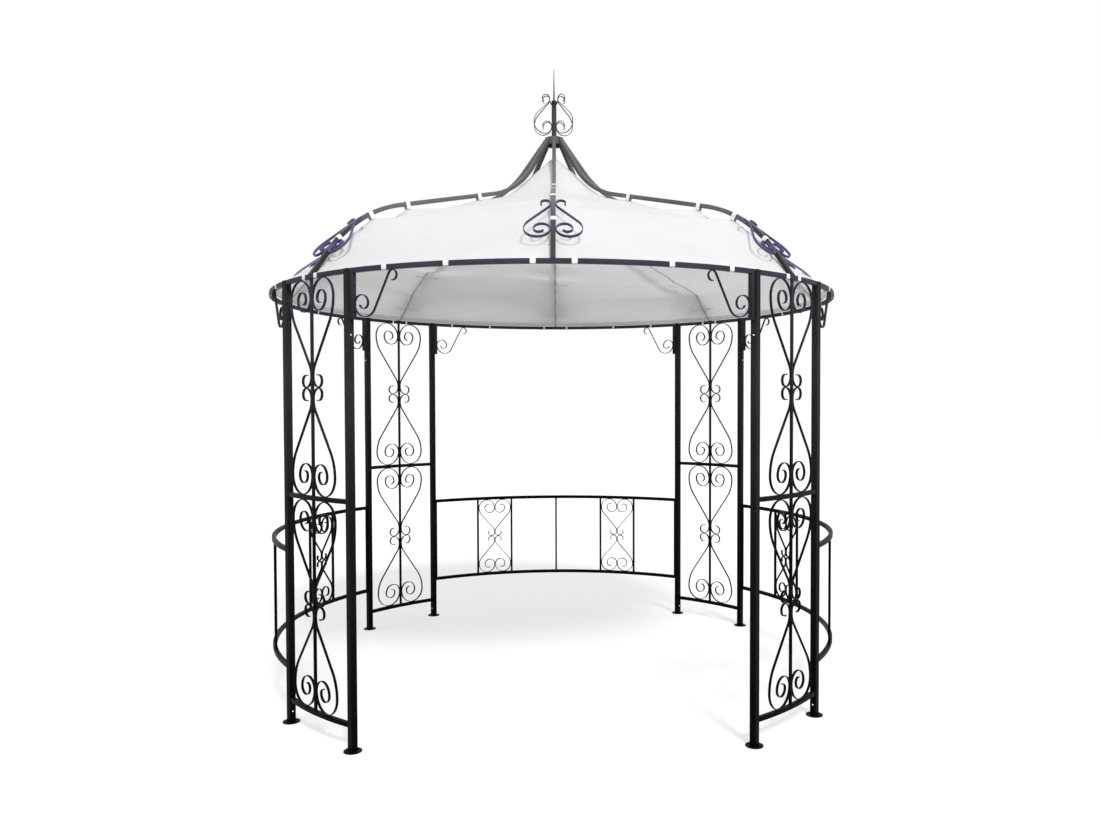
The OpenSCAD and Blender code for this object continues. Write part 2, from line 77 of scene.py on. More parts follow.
# %% Place the camera
camera_data = bpy.data.cameras.new("camera")
camera_data.lens = 29.0
camera_data.sensor_width = 36.0
camera_data.shift_x = -0.0318
camera_data.shift_y = 0.0158
camera = bpy.data.objects.new("camera", camera_data)
bpy.context.scene.collection.objects.link(camera)
camera.location = (0.0182, -4.9264, 1.4490)
turn_right, turn_up, roll = 0.03014, -0.02652, -0.00219
camera.rotation_euler = (
    Matrix.Rotation(-turn_right, 3, "Z")
    @ Matrix.Rotation(math.pi / 2 + turn_up, 3, "X")
    @ Matrix.Rotation(roll, 3, "Z")
).to_euler()
bpy.context.scene.camera = camera
print("camera at", [round(x, 3) for x in camera.location])

# %% [markdown]
# ## Building node networks
#
# The world and every material are small networks of nodes. Writing each link
# out would hide what a network does, so a few helpers do it: sockets are filled
# by name or in their order, and two values are joined by a sum, a product or a
# maximum.

# %% Add and join nodes
def fill_one(tree, socket, value):
    """Links the socket to another node's output, or sets it to a plain value."""
    if isinstance(value, bpy.types.NodeSocket):
        tree.links.new(value, socket)
    else:
        socket.default_value = value


def fill(tree, node, **sockets):
    """Fills a node's sockets by name. An underscore stands for a space."""
    for name, value in sockets.items():
        fill_one(tree, node.inputs[name.replace("_", " ")], value)
    return node


def add(tree, kind, *in_order, **sockets):
    """A new node of that kind, with its sockets filled in their order or by name."""
    node = tree.nodes.new(kind)
    for socket, value in zip(node.inputs, in_order):
        fill_one(tree, socket, value)
    return fill(tree, node, **sockets)


def arithmetic(tree, operation, first, second):
    """first and second joined by one operation of a Math node."""
    node = tree.nodes.new("ShaderNodeMath")
    node.operation = operation
    fill_one(tree, node.inputs[0], first)
    fill_one(tree, node.inputs[1], second)
    return node.outputs[0]


# %% [markdown]
# ## The studio
#
# The floor and the background are white to the camera, while the light on the
# gazebo stays at a plain level. Light Path's Is Camera Ray, Is Glossy Ray and
# Is Transmission Ray tell the world when it is being looked at, and then it
# shows white. Light that has soaked through cloth is a transmission ray too,
# and a diffuse one, so Is Diffuse Ray is taken away again. The floor adds a
# little glow in the same way, so that it reads as white paper but keeps a soft
# shadow.

# %% The white surroundings
def looked_at(tree):
    """1 for a ray that looks here, by gloss and through glass too, and 0 for one that gathers light."""
    ray = add(tree, "ShaderNodeLightPath").outputs
    seen = arithmetic(tree, "MAXIMUM", ray["Is Camera Ray"], ray["Is Glossy Ray"])
    seen = arithmetic(tree, "MAXIMUM", seen, ray["Is Transmission Ray"])
    return arithmetic(tree, "MAXIMUM", arithmetic(tree, "SUBTRACT", seen, ray["Is Diffuse Ray"]), 0.0)


world = bpy.data.worlds.new("studio")
bpy.context.scene.world = world
world.use_nodes = True
tree = world.node_tree
tree.nodes.clear()
sky_fill = add(tree, "ShaderNodeBackground", Color=(0.97, 0.985, 1.0, 1), Strength=0.66)
white_seen = add(tree, "ShaderNodeBackground", Color=(1, 1, 1, 1), Strength=1.0)
choose = add(tree, "ShaderNodeMixShader", looked_at(tree), sky_fill.outputs[0], white_seen.outputs[0])
add(tree, "ShaderNodeOutputWorld", Surface=choose.outputs[0])
print("strength of the fill light:", round(sky_fill.inputs["Strength"].default_value, 3))

# %% [markdown]
# ## The lamp
#
# One large lamp stands high in front, a little to the right, and is so far away
# that its light is the same everywhere. Its angle is the width of the lamp as
# the gazebo sees it: it blurs a shadow by a fifth of its distance, so a rib
# still draws a soft band on the cloth below it.

# %% Hang the lamp
lamp_data = bpy.data.lights.new("lamp", "SUN")
lamp_data.energy = 2.85
lamp_data.angle = math.radians(11)
lamp = bpy.data.objects.new("lamp", lamp_data)
side_turn, height_turn = math.radians(18), math.radians(45)
level = math.cos(height_turn)
towards = Vector((math.sin(side_turn) * level, -math.cos(side_turn) * level, math.sin(height_turn)))
lamp.rotation_euler = towards.to_track_quat("Z", "Y").to_euler()
bpy.context.scene.collection.objects.link(lamp)
bpy.context.scene.view_settings.view_transform = "Standard"
print("the lamp shines from", [round(x, 2) for x in towards])

# %% [markdown]
# ## Helpers for materials
#
# Real finishes vary from place to place. A noise pattern in metres gives the
# variation. It stays between 0.3 and 0.7 nearly everywhere, so that span is
# stretched to the range that a colour or a roughness needs.

# %% Patterns
def new_material(name):
    """An empty material with a Principled surface, and its node tree."""
    made = bpy.data.materials.new(name)
    made.use_nodes = True
    return made, made.node_tree, made.node_tree.nodes["Principled BSDF"]


def noise(tree, where, scale, detail):
    """Soft random cells about 1/scale metres across."""
    return add(tree, "ShaderNodeTexNoise", Vector=where, Scale=scale, Detail=detail).outputs["Fac"]


def spread(tree, value, low, high, to_low, to_high):
    """Maps low..high onto to_low..to_high in a straight line and holds the ends."""
    ends = {"From_Min": low, "From_Max": high, "To_Min": to_low, "To_Max": to_high}
    return add(tree, "ShaderNodeMapRange", Value=value, **ends).outputs["Result"]


def vary(tree, pattern, to_low, to_high, top=0.7):
    """A noise pattern's usual span, from 0.3 to top, mapped onto to_low..to_high."""
    return spread(tree, pattern, 0.3, top, to_low, to_high)


# %% [markdown]
# A pattern is turned into colour in two ways: it mixes two colours, as dust on
# paint does, or it makes one colour lighter and darker.

# %% Colours
def blend_colours(tree, amount, first, second):
    """first where amount is 0, second where it is 1."""
    node = tree.nodes.new("ShaderNodeMix")
    node.data_type = "RGBA"
    tree.links.new(amount, node.inputs["Factor"])
    colour_sockets = [s for s in node.inputs if s.type == "RGBA"]
    for socket, colour in zip(colour_sockets, (first, second)):
        fill_one(tree, socket, (*colour, 1) if isinstance(colour, tuple) else colour)
    return next(s for s in node.outputs if s.type == "RGBA")


def times(tree, colour, factor):
    """The colour made lighter or darker by a factor."""
    node = tree.nodes.new("ShaderNodeVectorMath")
    node.operation = "SCALE"
    tree.links.new(colour, node.inputs[0])
    tree.links.new(factor, node.inputs["Scale"])
    return node.outputs["Vector"]


# %% [markdown]
# ## The steel's finish
#
# Powder coat is a thin skin of melted plastic. It has the fine ripple of an
# orange skin, a satin gloss that varies from place to place, and a little pale
# dust on faces that look up. Its colour also follows the height, and that is
# painted light and shade: darker low down and lighter towards the roof, as the
# light falls. A colour ramp holds a few stops, and between two stops the colour
# changes evenly. The patterns read Object coordinates, which are metres here
# because every object sits at the origin.

# %% Colour by height
RAMP_TOP = 3.4


def by_height(tree, height, stops):
    """The colour at a height. A stop is (metres above the ground, colour)."""
    ramp = add(tree, "ShaderNodeValToRGB", Fac=arithmetic(tree, "DIVIDE", height, RAMP_TOP))
    elements = ramp.color_ramp.elements
    while len(elements) < len(stops):
        elements.new(0.5)
    for element, (metres, colour) in zip(elements, stops):
        element.position = metres / RAMP_TOP
        element.color = (*colour, 1)
    return ramp.outputs["Color"]


# %% [markdown]
# The coat itself has three layers of pattern: patches a hand wide that change
# the tone and the gloss, specks of dust, and a ripple with shallow dents as
# bump. The specular level is low, because a matt black coat gives back far less
# light than bare plastic does.

# %% Powder coat
DUST = (0.20, 0.19, 0.18)


def powder_coat(name, gloss, dusty, stops):
    """Steel coating whose colour follows the height. dusty is the share of dust on a face that looks up."""
    made, tree, surface = new_material(name)
    where = add(tree, "ShaderNodeTexCoord").outputs["Object"]
    facing = add(tree, "ShaderNodeNewGeometry").outputs["Normal"]
    height = add(tree, "ShaderNodeSeparateXYZ", Vector=where).outputs["Z"]
    up = add(tree, "ShaderNodeSeparateXYZ", Vector=facing).outputs["Z"]
    patches = noise(tree, where, 4.0, 5.0)
    specks = noise(tree, where, 90.0, 4.0)

    # by_height paints light and shade into the colour: darker low down, lighter towards the roof.
    uneven = times(tree, by_height(tree, height, stops), vary(tree, patches, 0.82, 1.24))
    upward = spread(tree, up, 0.45, 1.0, 0.0, 1.0)
    dust = arithmetic(tree, "MULTIPLY", upward, vary(tree, specks, 0.1 * dusty, dusty, top=0.8))
    colour = blend_colours(tree, dust, uneven, DUST)

    rough = vary(tree, patches, 0.36, 0.50)
    rough = arithmetic(tree, "ADD", rough, vary(tree, specks, -0.04, 0.06, top=0.8))

    ripple = noise(tree, where, 620.0, 2.0)
    dents = noise(tree, where, 45.0, 2.0)
    relief = arithmetic(tree, "ADD", ripple, arithmetic(tree, "MULTIPLY", dents, 2.0))
    bump = add(tree, "ShaderNodeBump", Height=relief, Strength=0.35, Distance=0.0004).outputs["Normal"]
    fill(tree, surface, Base_Color=colour, Roughness=rough, Specular_IOR_Level=gloss, Normal=bump)
    return made


# %% [markdown]
# The coats below the roof differ a little. Each grows lighter from the ground
# up to the ring, which is painted shade low down and painted light near the roof.

# %% Coats for posts, bars and scrolls
# Painted shade and light: each list of stops is darkest near the ground and lightest near the ring.
column_coat = powder_coat("column_coat", gloss=0.03, dusty=0.03, stops=[
    (0.20, (0.0007, 0.0009, 0.0009)),
    (0.95, (0.0078, 0.0078, 0.0084)),
    (1.60, (0.0250, 0.0250, 0.0264)),
    (2.00, (0.0205, 0.0203, 0.0215)),
])
bar_coat = powder_coat("bar_coat", gloss=0.03, dusty=0.015, stops=[
    (0.20, (0.0005, 0.0005, 0.0006)),
    (0.80, (0.0011, 0.0011, 0.0012)),
    (1.10, (0.0079, 0.0079, 0.0088)),
    (1.80, (0.0246, 0.0246, 0.0317)),
    (2.00, (0.0422, 0.0414, 0.0581)),
])
scroll_coat = powder_coat("scroll_coat", gloss=0.05, dusty=0.03, stops=[
    (0.20, (0.0005, 0.0005, 0.0006)),
    (0.90, (0.0022, 0.0022, 0.0025)),
    (1.60, (0.0141, 0.0141, 0.0167)),
    (1.95, (0.0290, 0.0308, 0.0440)),
])
print("coats below the roof:", [m.name for m in (column_coat, bar_coat, scroll_coat)])

# %% [markdown]
# The roof's steel is coloured a lighter grey than the posts, and that stands in
# for the sky's sheen on it: painted light, darkest at the ribs' feet. The
# hearts' violet is partly their paint and partly painted reflection of the sky,
# and the finial goes from grey at its foot to black at its top. These coats are
# glossier, because they look at the sky.

# %% Coats for the roof
# Painted light: this grey stands in for the sky's sheen, darker at the ribs' feet and lightest on the
# shoulders.
roof_coat = powder_coat("roof_coat", gloss=0.35, dusty=0.3, stops=[
    (2.06, (0.0140, 0.0138, 0.0190)),
    (2.18, (0.0225, 0.0220, 0.0310)),
    (2.36, (0.1038, 0.1003, 0.1214)),
    (2.55, (0.1038, 0.0994, 0.1188)),
    (2.80, (0.0774, 0.0757, 0.0862)),
])
# Painted reflection: part of the hearts' violet stands in for the sky seen in their gloss.
heart_coat = powder_coat("heart_coat", gloss=0.22, dusty=0.1, stops=[
    (2.10, (0.094, 0.084, 0.194)),
    (2.40, (0.098, 0.087, 0.198)),
])
finial_coat = powder_coat("finial_coat", gloss=0.25, dusty=0.1, stops=[
    (2.90, (0.0546, 0.0546, 0.0616)),
    (3.05, (0.0440, 0.0440, 0.0493)),
    (3.14, (0.0106, 0.0106, 0.0114)),
])
print("coats of the roof:", [m.name for m in (roof_coat, heart_coat, finial_coat)])

# %% [markdown]
# ## Soft edges on the straight steel
#
# Square tube has rounded corners, and a rounded corner catches a thin line of
# light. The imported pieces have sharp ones. Three modifiers do it without
# touching the mesh: Weld joins the loose triangles, a planar Decimate turns
# them back into whole faces, and Bevel rounds the edges that are left.

# %% Round the corners
def soften(node, radius, coat):
    """Welds, dissolves flat faces and bevels every edge sharper than 40 degrees by radius metres."""
    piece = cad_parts[node]
    weld = piece.modifiers.new("weld", "WELD")
    weld.merge_threshold = 0.00002
    flat = piece.modifiers.new("flat_faces", "DECIMATE")
    flat.decimate_type = "DISSOLVE"
    flat.angle_limit = math.radians(0.4)
    bevel = piece.modifiers.new("soft_edges", "BEVEL")
    bevel.width, bevel.segments = radius, 2
    bevel.limit_method, bevel.angle_limit = "ANGLE", math.radians(40)
    bevel.harden_normals = False
    piece.data.materials.clear()
    piece.data.materials.append(coat)


# %% [markdown]
# A thicker tube has a larger corner radius: 2.2 mm on the posts, 1.4 mm on the
# cross bars and rails, and 1 mm on the thin balusters.

# %% Coat the straight steel
SIDE_BEARINGS = {"front": 0, "right": 90, "back": 180, "left": 270}
RAIL_SIDES = ("right", "back", "left")
COLUMN_BEARINGS = (45, 135, 225, 315)

for number in range(1, 9):
    soften(f"post_{number}", 0.0022, column_coat)
soften("foot_plates", 0.0012, column_coat)
for number in range(1, 5):
    soften(f"panel_frame_{number}", 0.0014, bar_coat)
for side in SIDE_BEARINGS:
    soften(f"header_{side}", 0.0014, bar_coat)
for side in RAIL_SIDES:
    soften(f"rails_{side}", 0.0014, bar_coat)
    soften(f"balusters_{side}", 0.0010, bar_coat)
soften("hub", 0.0015, roof_coat)
soften("finial_post", 0.0012, finial_coat)
print("softened:", sum(1 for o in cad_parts.values() if "soft_edges" in o.modifiers))

# %% [markdown]
# ## Bending bars
#
# A scroll and a rib are both a bar that has been bent. Its middle line is a
# list of legs, walked one after another: a pair (radius, sweep) is an arc, with
# a positive sweep turning left, and (length, 0) is a straight. Distances are in
# metres and angles in degrees.

# %% One leg
def way(heading):
    """The direction (cos h, sin h)."""
    h = math.radians(heading)
    return np.array([math.cos(h), math.sin(h)])


def leg_end(leg, point, heading):
    """Where a leg ends, and its heading there.

    A straight adds length * (cos h, sin h). An arc of sweep s adds
    k * (sin(h + s) - sin h, cos h - cos(h + s)), where k is the radius with
    the sweep's sign.
    """
    size, sweep = leg
    if sweep == 0:
        return point + size * way(heading), heading
    h, g = math.radians(heading), math.radians(heading + sweep)
    k = math.copysign(size, sweep)
    return point + k * np.array([math.sin(g) - math.sin(h), math.cos(h) - math.cos(g)]), heading + sweep


def leg_start(leg, point, heading):
    """The same leg walked backwards, from where it ends."""
    size, sweep = leg
    end, _ = leg_end(leg, np.zeros(2), heading - sweep)
    return point - end, heading - sweep


# %% [markdown]
# A whole line is its legs in a row. A straight needs only its two ends, and an
# arc gets a point every few degrees, all worked out at once as an array.

# %% Walk a list of legs
def walk(legs, point, heading, step=5.0):
    """Points and headings along the legs. An arc has one every step degrees or less."""
    points, headings = [np.array([point])], [np.array([heading])]
    for leg in legs:
        size, sweep = leg
        if sweep == 0:
            point, heading = leg_end(leg, point, heading)
            points.append(point[None])
            headings.append(np.array([heading]))
            continue
        turned = heading + sweep * np.linspace(0, 1, max(3, math.ceil(abs(sweep) / step)) + 1)[1:]
        h, g, k = math.radians(heading), np.radians(turned), math.copysign(size, sweep)
        points.append(point + k * np.stack([np.sin(g) - math.sin(h), math.cos(h) - np.cos(g)], 1))
        headings.append(turned)
        point, heading = leg_end(leg, point, heading)
    return np.concatenate(points), np.concatenate(headings)


print("a half circle of radius 1 m ends at", np.round(walk([(1.0, 180)], (0.0, 0.0), 0.0)[0][-1], 3))

# %% [markdown]
# ## Giving a line its bar
#
# A bar's section is a rectangle with rounded corners. It is carried along the
# middle line: one of its directions lies across the line in the line's plane,
# and the other stands square to that plane. The result is a grid of points, one
# ring for each point of the line.

# %% Carry a section along a line
CORNER_POINTS = 3


def bar_section(thick, wide, edge):
    """Corner points of a rectangle, each corner a quarter circle of radius edge with a few points."""
    turn = np.radians(np.linspace(0, 90, CORNER_POINTS))
    corners = []
    for number, (u, v) in enumerate([(1, 1), (-1, 1), (-1, -1), (1, -1)]):
        a = turn + number * math.pi / 2
        across = u * (thick / 2 - edge) + edge * np.cos(a)
        upright = v * (wide / 2 - edge) + edge * np.sin(a)
        corners.append(np.stack([across, upright], 1))
    return np.concatenate(corners)


def carry(section, points, headings):
    """Ring point = line point + u * (-sin h, cos h), at height v. The grid is rings x section points x 3."""
    h = np.radians(headings)
    across = np.stack([-np.sin(h), np.cos(h)], 1)
    plane = points[:, None, :] + section[None, :, :1] * across[:, None, :]
    height = np.broadcast_to(section[None, :, 1:], plane.shape[:2] + (1,))
    return np.concatenate([plane, height], 2)


# %% [markdown]
# ## Placing a grid
#
# A place is a 4 x 4 matrix, and places are joined by multiplying them, with
# the last step written first. One grid then goes through all its places at
# once.

# %% Turns, moves and mirrors
def turn_z(degrees):
    """A turn about the vertical, to the left as seen from above."""
    (c, s) = way(degrees)
    return np.array([[c, -s, 0, 0], [s, c, 0, 0], [0, 0, 1, 0], [0, 0, 0, 1.0]])


def turn_x(degrees):
    """A turn about the x axis that takes y towards z."""
    (c, s) = way(degrees)
    return np.array([[1, 0, 0, 0], [0, c, -s, 0], [0, s, c, 0], [0, 0, 0, 1.0]])


def move(x, y, z):
    """A shift by (x, y, z)."""
    made = np.eye(4)
    made[:3, 3] = x, y, z
    return made


def scaled(x, y, z):
    """A scale along each axis. A -1 mirrors."""
    return np.diag([x, y, z, 1.0])


def placed(grid, matrices):
    """Every point of the grid through every matrix: copies x rings x section points x 3."""
    m = np.array(matrices)
    return np.einsum("cij,rsj->crsi", m[:, :3, :3], grid) + m[:, None, None, :3, 3]


# %% [markdown]
# ## From a grid to a mesh
#
# Four neighbouring points of a grid make a face. Mirrored copies come out
# inside out, so the outward side is worked out again at the end. Edges sharper
# than a given angle stay sharp, and everything else is shaded smooth.

# %% Put a mesh in the scene
def ring_faces(rings, around, closed=False):
    """Faces between neighbouring rings of points. closed also joins the last ring to the first."""
    r, s = np.meshgrid(np.arange(rings if closed else rings - 1), np.arange(around), indexing="ij")
    next_r, next_s = (r + 1) % rings, (s + 1) % around
    corners = ((r, s), (r, next_s), (next_r, next_s), (next_r, s))
    return np.stack([ring * around + place for ring, place in corners], -1).reshape(-1, 4)


def put_in_scene(name, points, faces, coat, sharp=28.0):
    """One mesh from an array of points and a list of faces, with outward faces, that rides on the body."""
    mesh = bpy.data.meshes.new(name)
    mesh.from_pydata(points, [], faces)
    work = bmesh.new()
    work.from_mesh(mesh)
    bmesh.ops.recalc_face_normals(work, faces=work.faces)
    work.to_mesh(mesh)
    work.free()
    mesh.polygons.foreach_set("use_smooth", np.ones(len(mesh.polygons), bool))
    mesh.set_sharp_from_angle(angle=math.radians(sharp))
    mesh.materials.append(coat)
    piece = bpy.data.objects.new(name, mesh)
    bpy.context.scene.collection.objects.link(piece)
    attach(piece, "root")
    return piece


# %% [markdown]
# A bar is a grid whose rings close on themselves and whose two ends each get a
# face of their own. Many copies go into one mesh.

# %% Make closed bars
def bars(name, stacks, coat):
    """Closed bars from a list of stacks. A stack is copies x rings x section points x 3, one bar a copy."""
    faces, first = [], 0
    for grids in stacks:
        copies, rings, around = grids.shape[:3]
        sides = ring_faces(rings, around)
        for _ in range(copies):
            faces += (sides + first).tolist()
            faces.append(list(range(first + around - 1, first - 1, -1)))
            faces.append(list(range(first + (rings - 1) * around, first + rings * around)))
            first += rings * around
    points = np.concatenate([grids.reshape(-1, 3) for grids in stacks])
    return put_in_scene(name, points, faces, coat)


# %% [markdown]
# ## The scrolls
#
# Every scroll begins in the middle of a spiral whose half turns grow by the
# same share, swings round its lobe, runs down its flank and ends in a hook. A
# half heart and the corner scroll under the ring are both made that way. The
# flat bar is 12 mm wide and 3.5 mm thick, and its edges are a little rounded
# from rolling.

# %% The flat bar and its coil
FLAT_THICK, FLAT_WIDE, FLAT_EDGE = 0.0035, 0.012, 0.0007
FLAT_BAR = bar_section(FLAT_THICK, FLAT_WIDE, FLAT_EDGE)
HALF_T = FLAT_THICK / 2
GAP = 0.0002  # room left between a scroll and its neighbour
COIL = 0.63  # a half turn's radius over that of the one outside it


def coil(radius, turns, tip):
    """The spiral inside a lobe: a tip of so many degrees, then half turns whose radii grow by 1/COIL."""
    return [(radius * COIL ** (turns + 1), tip)] + [(radius * COIL**i, 180) for i in range(turns, 0, -1)]


def with_coil(spiral, point, legs):
    """Walks back through the spiral from point, where it heads straight down, then walks it all forwards."""
    start, heading = np.array(point), -90.0
    for leg in reversed(spiral):
        start, heading = leg_start(leg, start, heading)
    return walk(spiral + legs, start, heading)


# %% [markdown]
# Two bends that turn opposite ways are joined by a straight that touches both.
# Its direction follows from the two middles: it leans from the line between
# them by the angle whose sine is the sum of the radii over their distance.

# %% Half heart and corner scroll
def slant(c1, r1, c2, r2):
    """The straight that touches two bends turning opposite ways: its heading and its length."""
    v = np.array(c2) - np.array(c1)
    d = math.hypot(*v)
    return math.degrees(math.atan2(v[1], v[0]) + math.asin((r1 + r2) / d)), math.sqrt(d * d - (r1 + r2) ** 2)


def half_heart(top, heart, side=0.0):
    """Middle line of a half heart between the bar below, y = 0, and its twin above, y = top.

    The upright is x = 0, and side is the room left beside it.
    lobe, flank, neck, root and end are the radii of its bends. root and end
    make the hook, which turns by hook degrees after a short straight, land.
    """
    x0 = HALF_T + side
    y1 = HALF_T + GAP + heart.lobe
    y2 = top - GAP / 2 - HALF_T - heart.root - heart.land
    flank_middle, neck_middle = (x0 + 2 * heart.lobe - heart.flank, y1), (x0 + heart.neck, y2)
    lean, length = slant(flank_middle, heart.flank, neck_middle, heart.neck)
    legs = [
        (heart.lobe, 180), (heart.flank, lean - 90), (length, 0), (heart.neck, 90 - lean),
        (heart.land, 0), (heart.root, -90), (heart.end, 90 - heart.hook),
    ]
    return with_coil(coil(heart.lobe, heart.turns, heart.tip), (x0, y1), legs)


def corner_scroll(scroll, side):
    """Middle line of a scroll between a leg beside x = 0 and a ring above y = 0."""
    x0 = HALF_T + side
    y1 = -scroll.drop + HALF_T + scroll.lobe
    hook_middle = (scroll.reach - HALF_T - scroll.hook, -GAP - HALF_T - scroll.hook)
    lean, length = slant((x0 + scroll.lobe, y1), scroll.lobe, hook_middle, scroll.hook)
    legs = [(scroll.lobe, 90 + lean), (length, 0), (scroll.hook, -scroll.sweep)]
    return with_coil(coil(scroll.lobe, scroll.turns, scroll.tip), (x0, y1), legs)


# %% [markdown]
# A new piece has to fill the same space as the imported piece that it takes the
# place of, so each one is compared with it.

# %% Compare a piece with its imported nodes
def compare(piece, *nodes):
    """Prints how far the new piece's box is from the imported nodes' box, in millimetres."""
    low = np.min([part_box(n)[0] for n in nodes], 0)
    high = np.max([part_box(n)[1] for n in nodes], 0)
    points = np.empty(len(piece.data.vertices) * 3, np.float32)
    piece.data.vertices.foreach_get("co", points)
    points = points.reshape(-1, 3)
    below, above = (points.min(0) - low) * 1000, (points.max(0) - high) * 1000
    print(piece.name, "box differs by", np.round(below, 1), np.round(above, 1))


# %% [markdown]
# ## Column hearts
#
# Each column holds two spaces, and each space holds four half hearts round its
# middle: mirrored left and right about the upright, and up and down. A mirror
# is a matrix with a -1 in it, so one grid serves all eight places of a column.

# %% Bend the column hearts
PLAN_R, RING_TOP, BAR, UPRIGHT = 1.480, 2.020, 0.020, 0.012
HALF_PANEL, HALF_POST = 0.257, 0.015
RING_Z = RING_TOP - BAR / 2
LOW_Z, MID_Z = 0.110, 1.050
STAND = turn_x(90)
MIRRORS = [scaled(x, y, 1) for x in (1, -1) for y in (1, -1)]
COLUMN_HEART = SimpleNamespace(
    lobe=0.084, flank=0.190, neck=0.080, root=0.044, end=0.027, land=0.008, hook=290, turns=2, tip=100
)

spaces = [(LOW_Z + BAR / 2, MID_Z - BAR / 2), (MID_Z + BAR / 2, RING_Z - BAR / 2)]
column_grids, column_places = [], []
for low, high in spaces:
    half = (high - low) / 2
    column_grids.append(carry(FLAT_BAR, *half_heart(half, COLUMN_HEART)))
    middle = move(0, -PLAN_R, (low + high) / 2) @ STAND
    column_places.append([middle @ m @ move(UPRIGHT / 2, -half, 0) for m in MIRRORS])
for number, bearing in enumerate(COLUMN_BEARINGS, 1):
    stacks = [placed(g, [turn_z(bearing) @ p for p in ps]) for g, ps in zip(column_grids, column_places)]
    hearts = bars(f"column_hearts_{number}", stacks, scroll_coat)
    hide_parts(f"panel_scrolls_{number}")
    compare(hearts, f"panel_scrolls_{number}")

# %% [markdown]
# ## Balustrade hearts
#
# Two hearts stand point to point in each pair of balusters. Their lobes fill
# the clear width between the balusters, which follows from the two bearings.

# %% Bend the balustrade hearts
INNER_A, OUTER_A, RAIL_LOW, RAIL_TOP = 12.5, 22.0, 0.253, 0.792
middle_a, half_a = (INNER_A + OUTER_A) / 2, math.radians((OUTER_A - INNER_A) / 2)
clear = PLAN_R * math.sin(half_a) - UPRIGHT / 2 * (math.cos(half_a) + math.sin(half_a))
rail_half = (RAIL_TOP - RAIL_LOW - BAR) / 2
RAIL_HEART = SimpleNamespace(
    lobe=(clear - 2 * GAP - 2 * HALF_T) / 2, flank=0.074, neck=0.040, root=0.024, end=0.020,
    land=0.005, hook=220, turns=1, tip=120,
)
rail_grid = carry(FLAT_BAR, *half_heart(rail_half, RAIL_HEART, GAP / 2))
middle = move(0, -PLAN_R * math.cos(half_a), (RAIL_LOW + RAIL_TOP) / 2) @ STAND
rail_places = [
    turn_z(side * middle_a) @ middle @ m @ move(0, -rail_half, 0) for side in (-1, 1) for m in MIRRORS
]
for side in RAIL_SIDES:
    places = [turn_z(SIDE_BEARINGS[side]) @ p for p in rail_places]
    hearts = bars(f"balustrade_hearts_{side}", [placed(rail_grid, places)], scroll_coat)
    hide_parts(f"rail_scrolls_{side}")
    compare(hearts, f"rail_scrolls_{side}")

# %% [markdown]
# ## Corner scrolls under the ring
#
# One scroll fills each corner between a header's leg and the ring. Its plane is
# the chord that it reaches along, so it leans a little away from the leg.

# %% Bend the corner scrolls
LEG_X = HALF_PANEL + HALF_POST + BAR / 2
LEG_Y = math.sqrt(PLAN_R**2 - LEG_X**2)
CORNER = SimpleNamespace(reach=0.225, drop=0.186, lobe=0.056, hook=0.021, sweep=250, turns=1, tip=165)
lean = math.degrees(math.asin(LEG_X / PLAN_R) + CORNER.reach / 2 / PLAN_R)
stand_off = (GAP + FLAT_WIDE / 2 * math.sin(math.radians(lean))) / math.cos(math.radians(lean))
corner_grid = carry(FLAT_BAR, *corner_scroll(CORNER, stand_off))
under_ring = turn_z(-45) @ move(LEG_X + BAR / 2, -LEG_Y, RING_Z - BAR / 2) @ turn_z(lean) @ STAND
corner_places = [
    turn_z(bearing) @ scaled(side, 1, 1) @ under_ring
    for bearing in SIDE_BEARINGS.values() for side in (1, -1)
]
corner = bars("corner_scrolls", [placed(corner_grid, corner_places)], scroll_coat)
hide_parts("header_scrolls")
compare(corner, "header_scrolls")

# %% [markdown]
# ## The ribs
#
# A rib is one square bar: a straight foot on the ring, a shoulder bend, a long
# straight shoulder, a neck bend and a straight neck that meets the hub. Only
# the bends and the slopes are given. The two long straights come from two
# equations, one sideways and one upwards, because the rib has to end at the
# hub.

# %% Find the rib's straights
HUB_R, RISE = 0.049, 0.882
FOOT_SLOPE, SHOULDER_SLOPE, NECK_SLOPE = 53.0, 14.7, 55.0
FOOT, SHOULDER, NECK = 180 - FOOT_SLOPE, 180 - SHOULDER_SLOPE, 180 - NECK_SLOPE
FOOT_LONG, SHOULDER_R, NECK_R = 0.160, 0.670, 0.480
RIB_START = np.array([PLAN_R, 0.0])
foot_leg, shoulder_leg, neck_leg = (FOOT_LONG, 0), (SHOULDER_R, SHOULDER - FOOT), (NECK_R, NECK - SHOULDER)
foot_end, _ = leg_end(foot_leg, RIB_START, FOOT)
shoulder_end, _ = leg_end(shoulder_leg, foot_end, FOOT)
neck_bend, _ = leg_end(neck_leg, np.zeros(2), SHOULDER)
both_ways = np.stack([way(SHOULDER), way(NECK)], 1)
long_1, long_2 = np.linalg.solve(both_ways, np.array([HUB_R, RISE]) - shoulder_end - neck_bend)
RIB_LEGS = [foot_leg, shoulder_leg, (long_1, 0), neck_leg, (long_2, 0)]
print("rib straights", round(long_1, 4), round(long_2, 4))

# %% [markdown]
# The foot is cut level with the ring's top, and the neck upright against the
# hub. So the points of the two end rings slide along the bar until they lie in
# the cut.

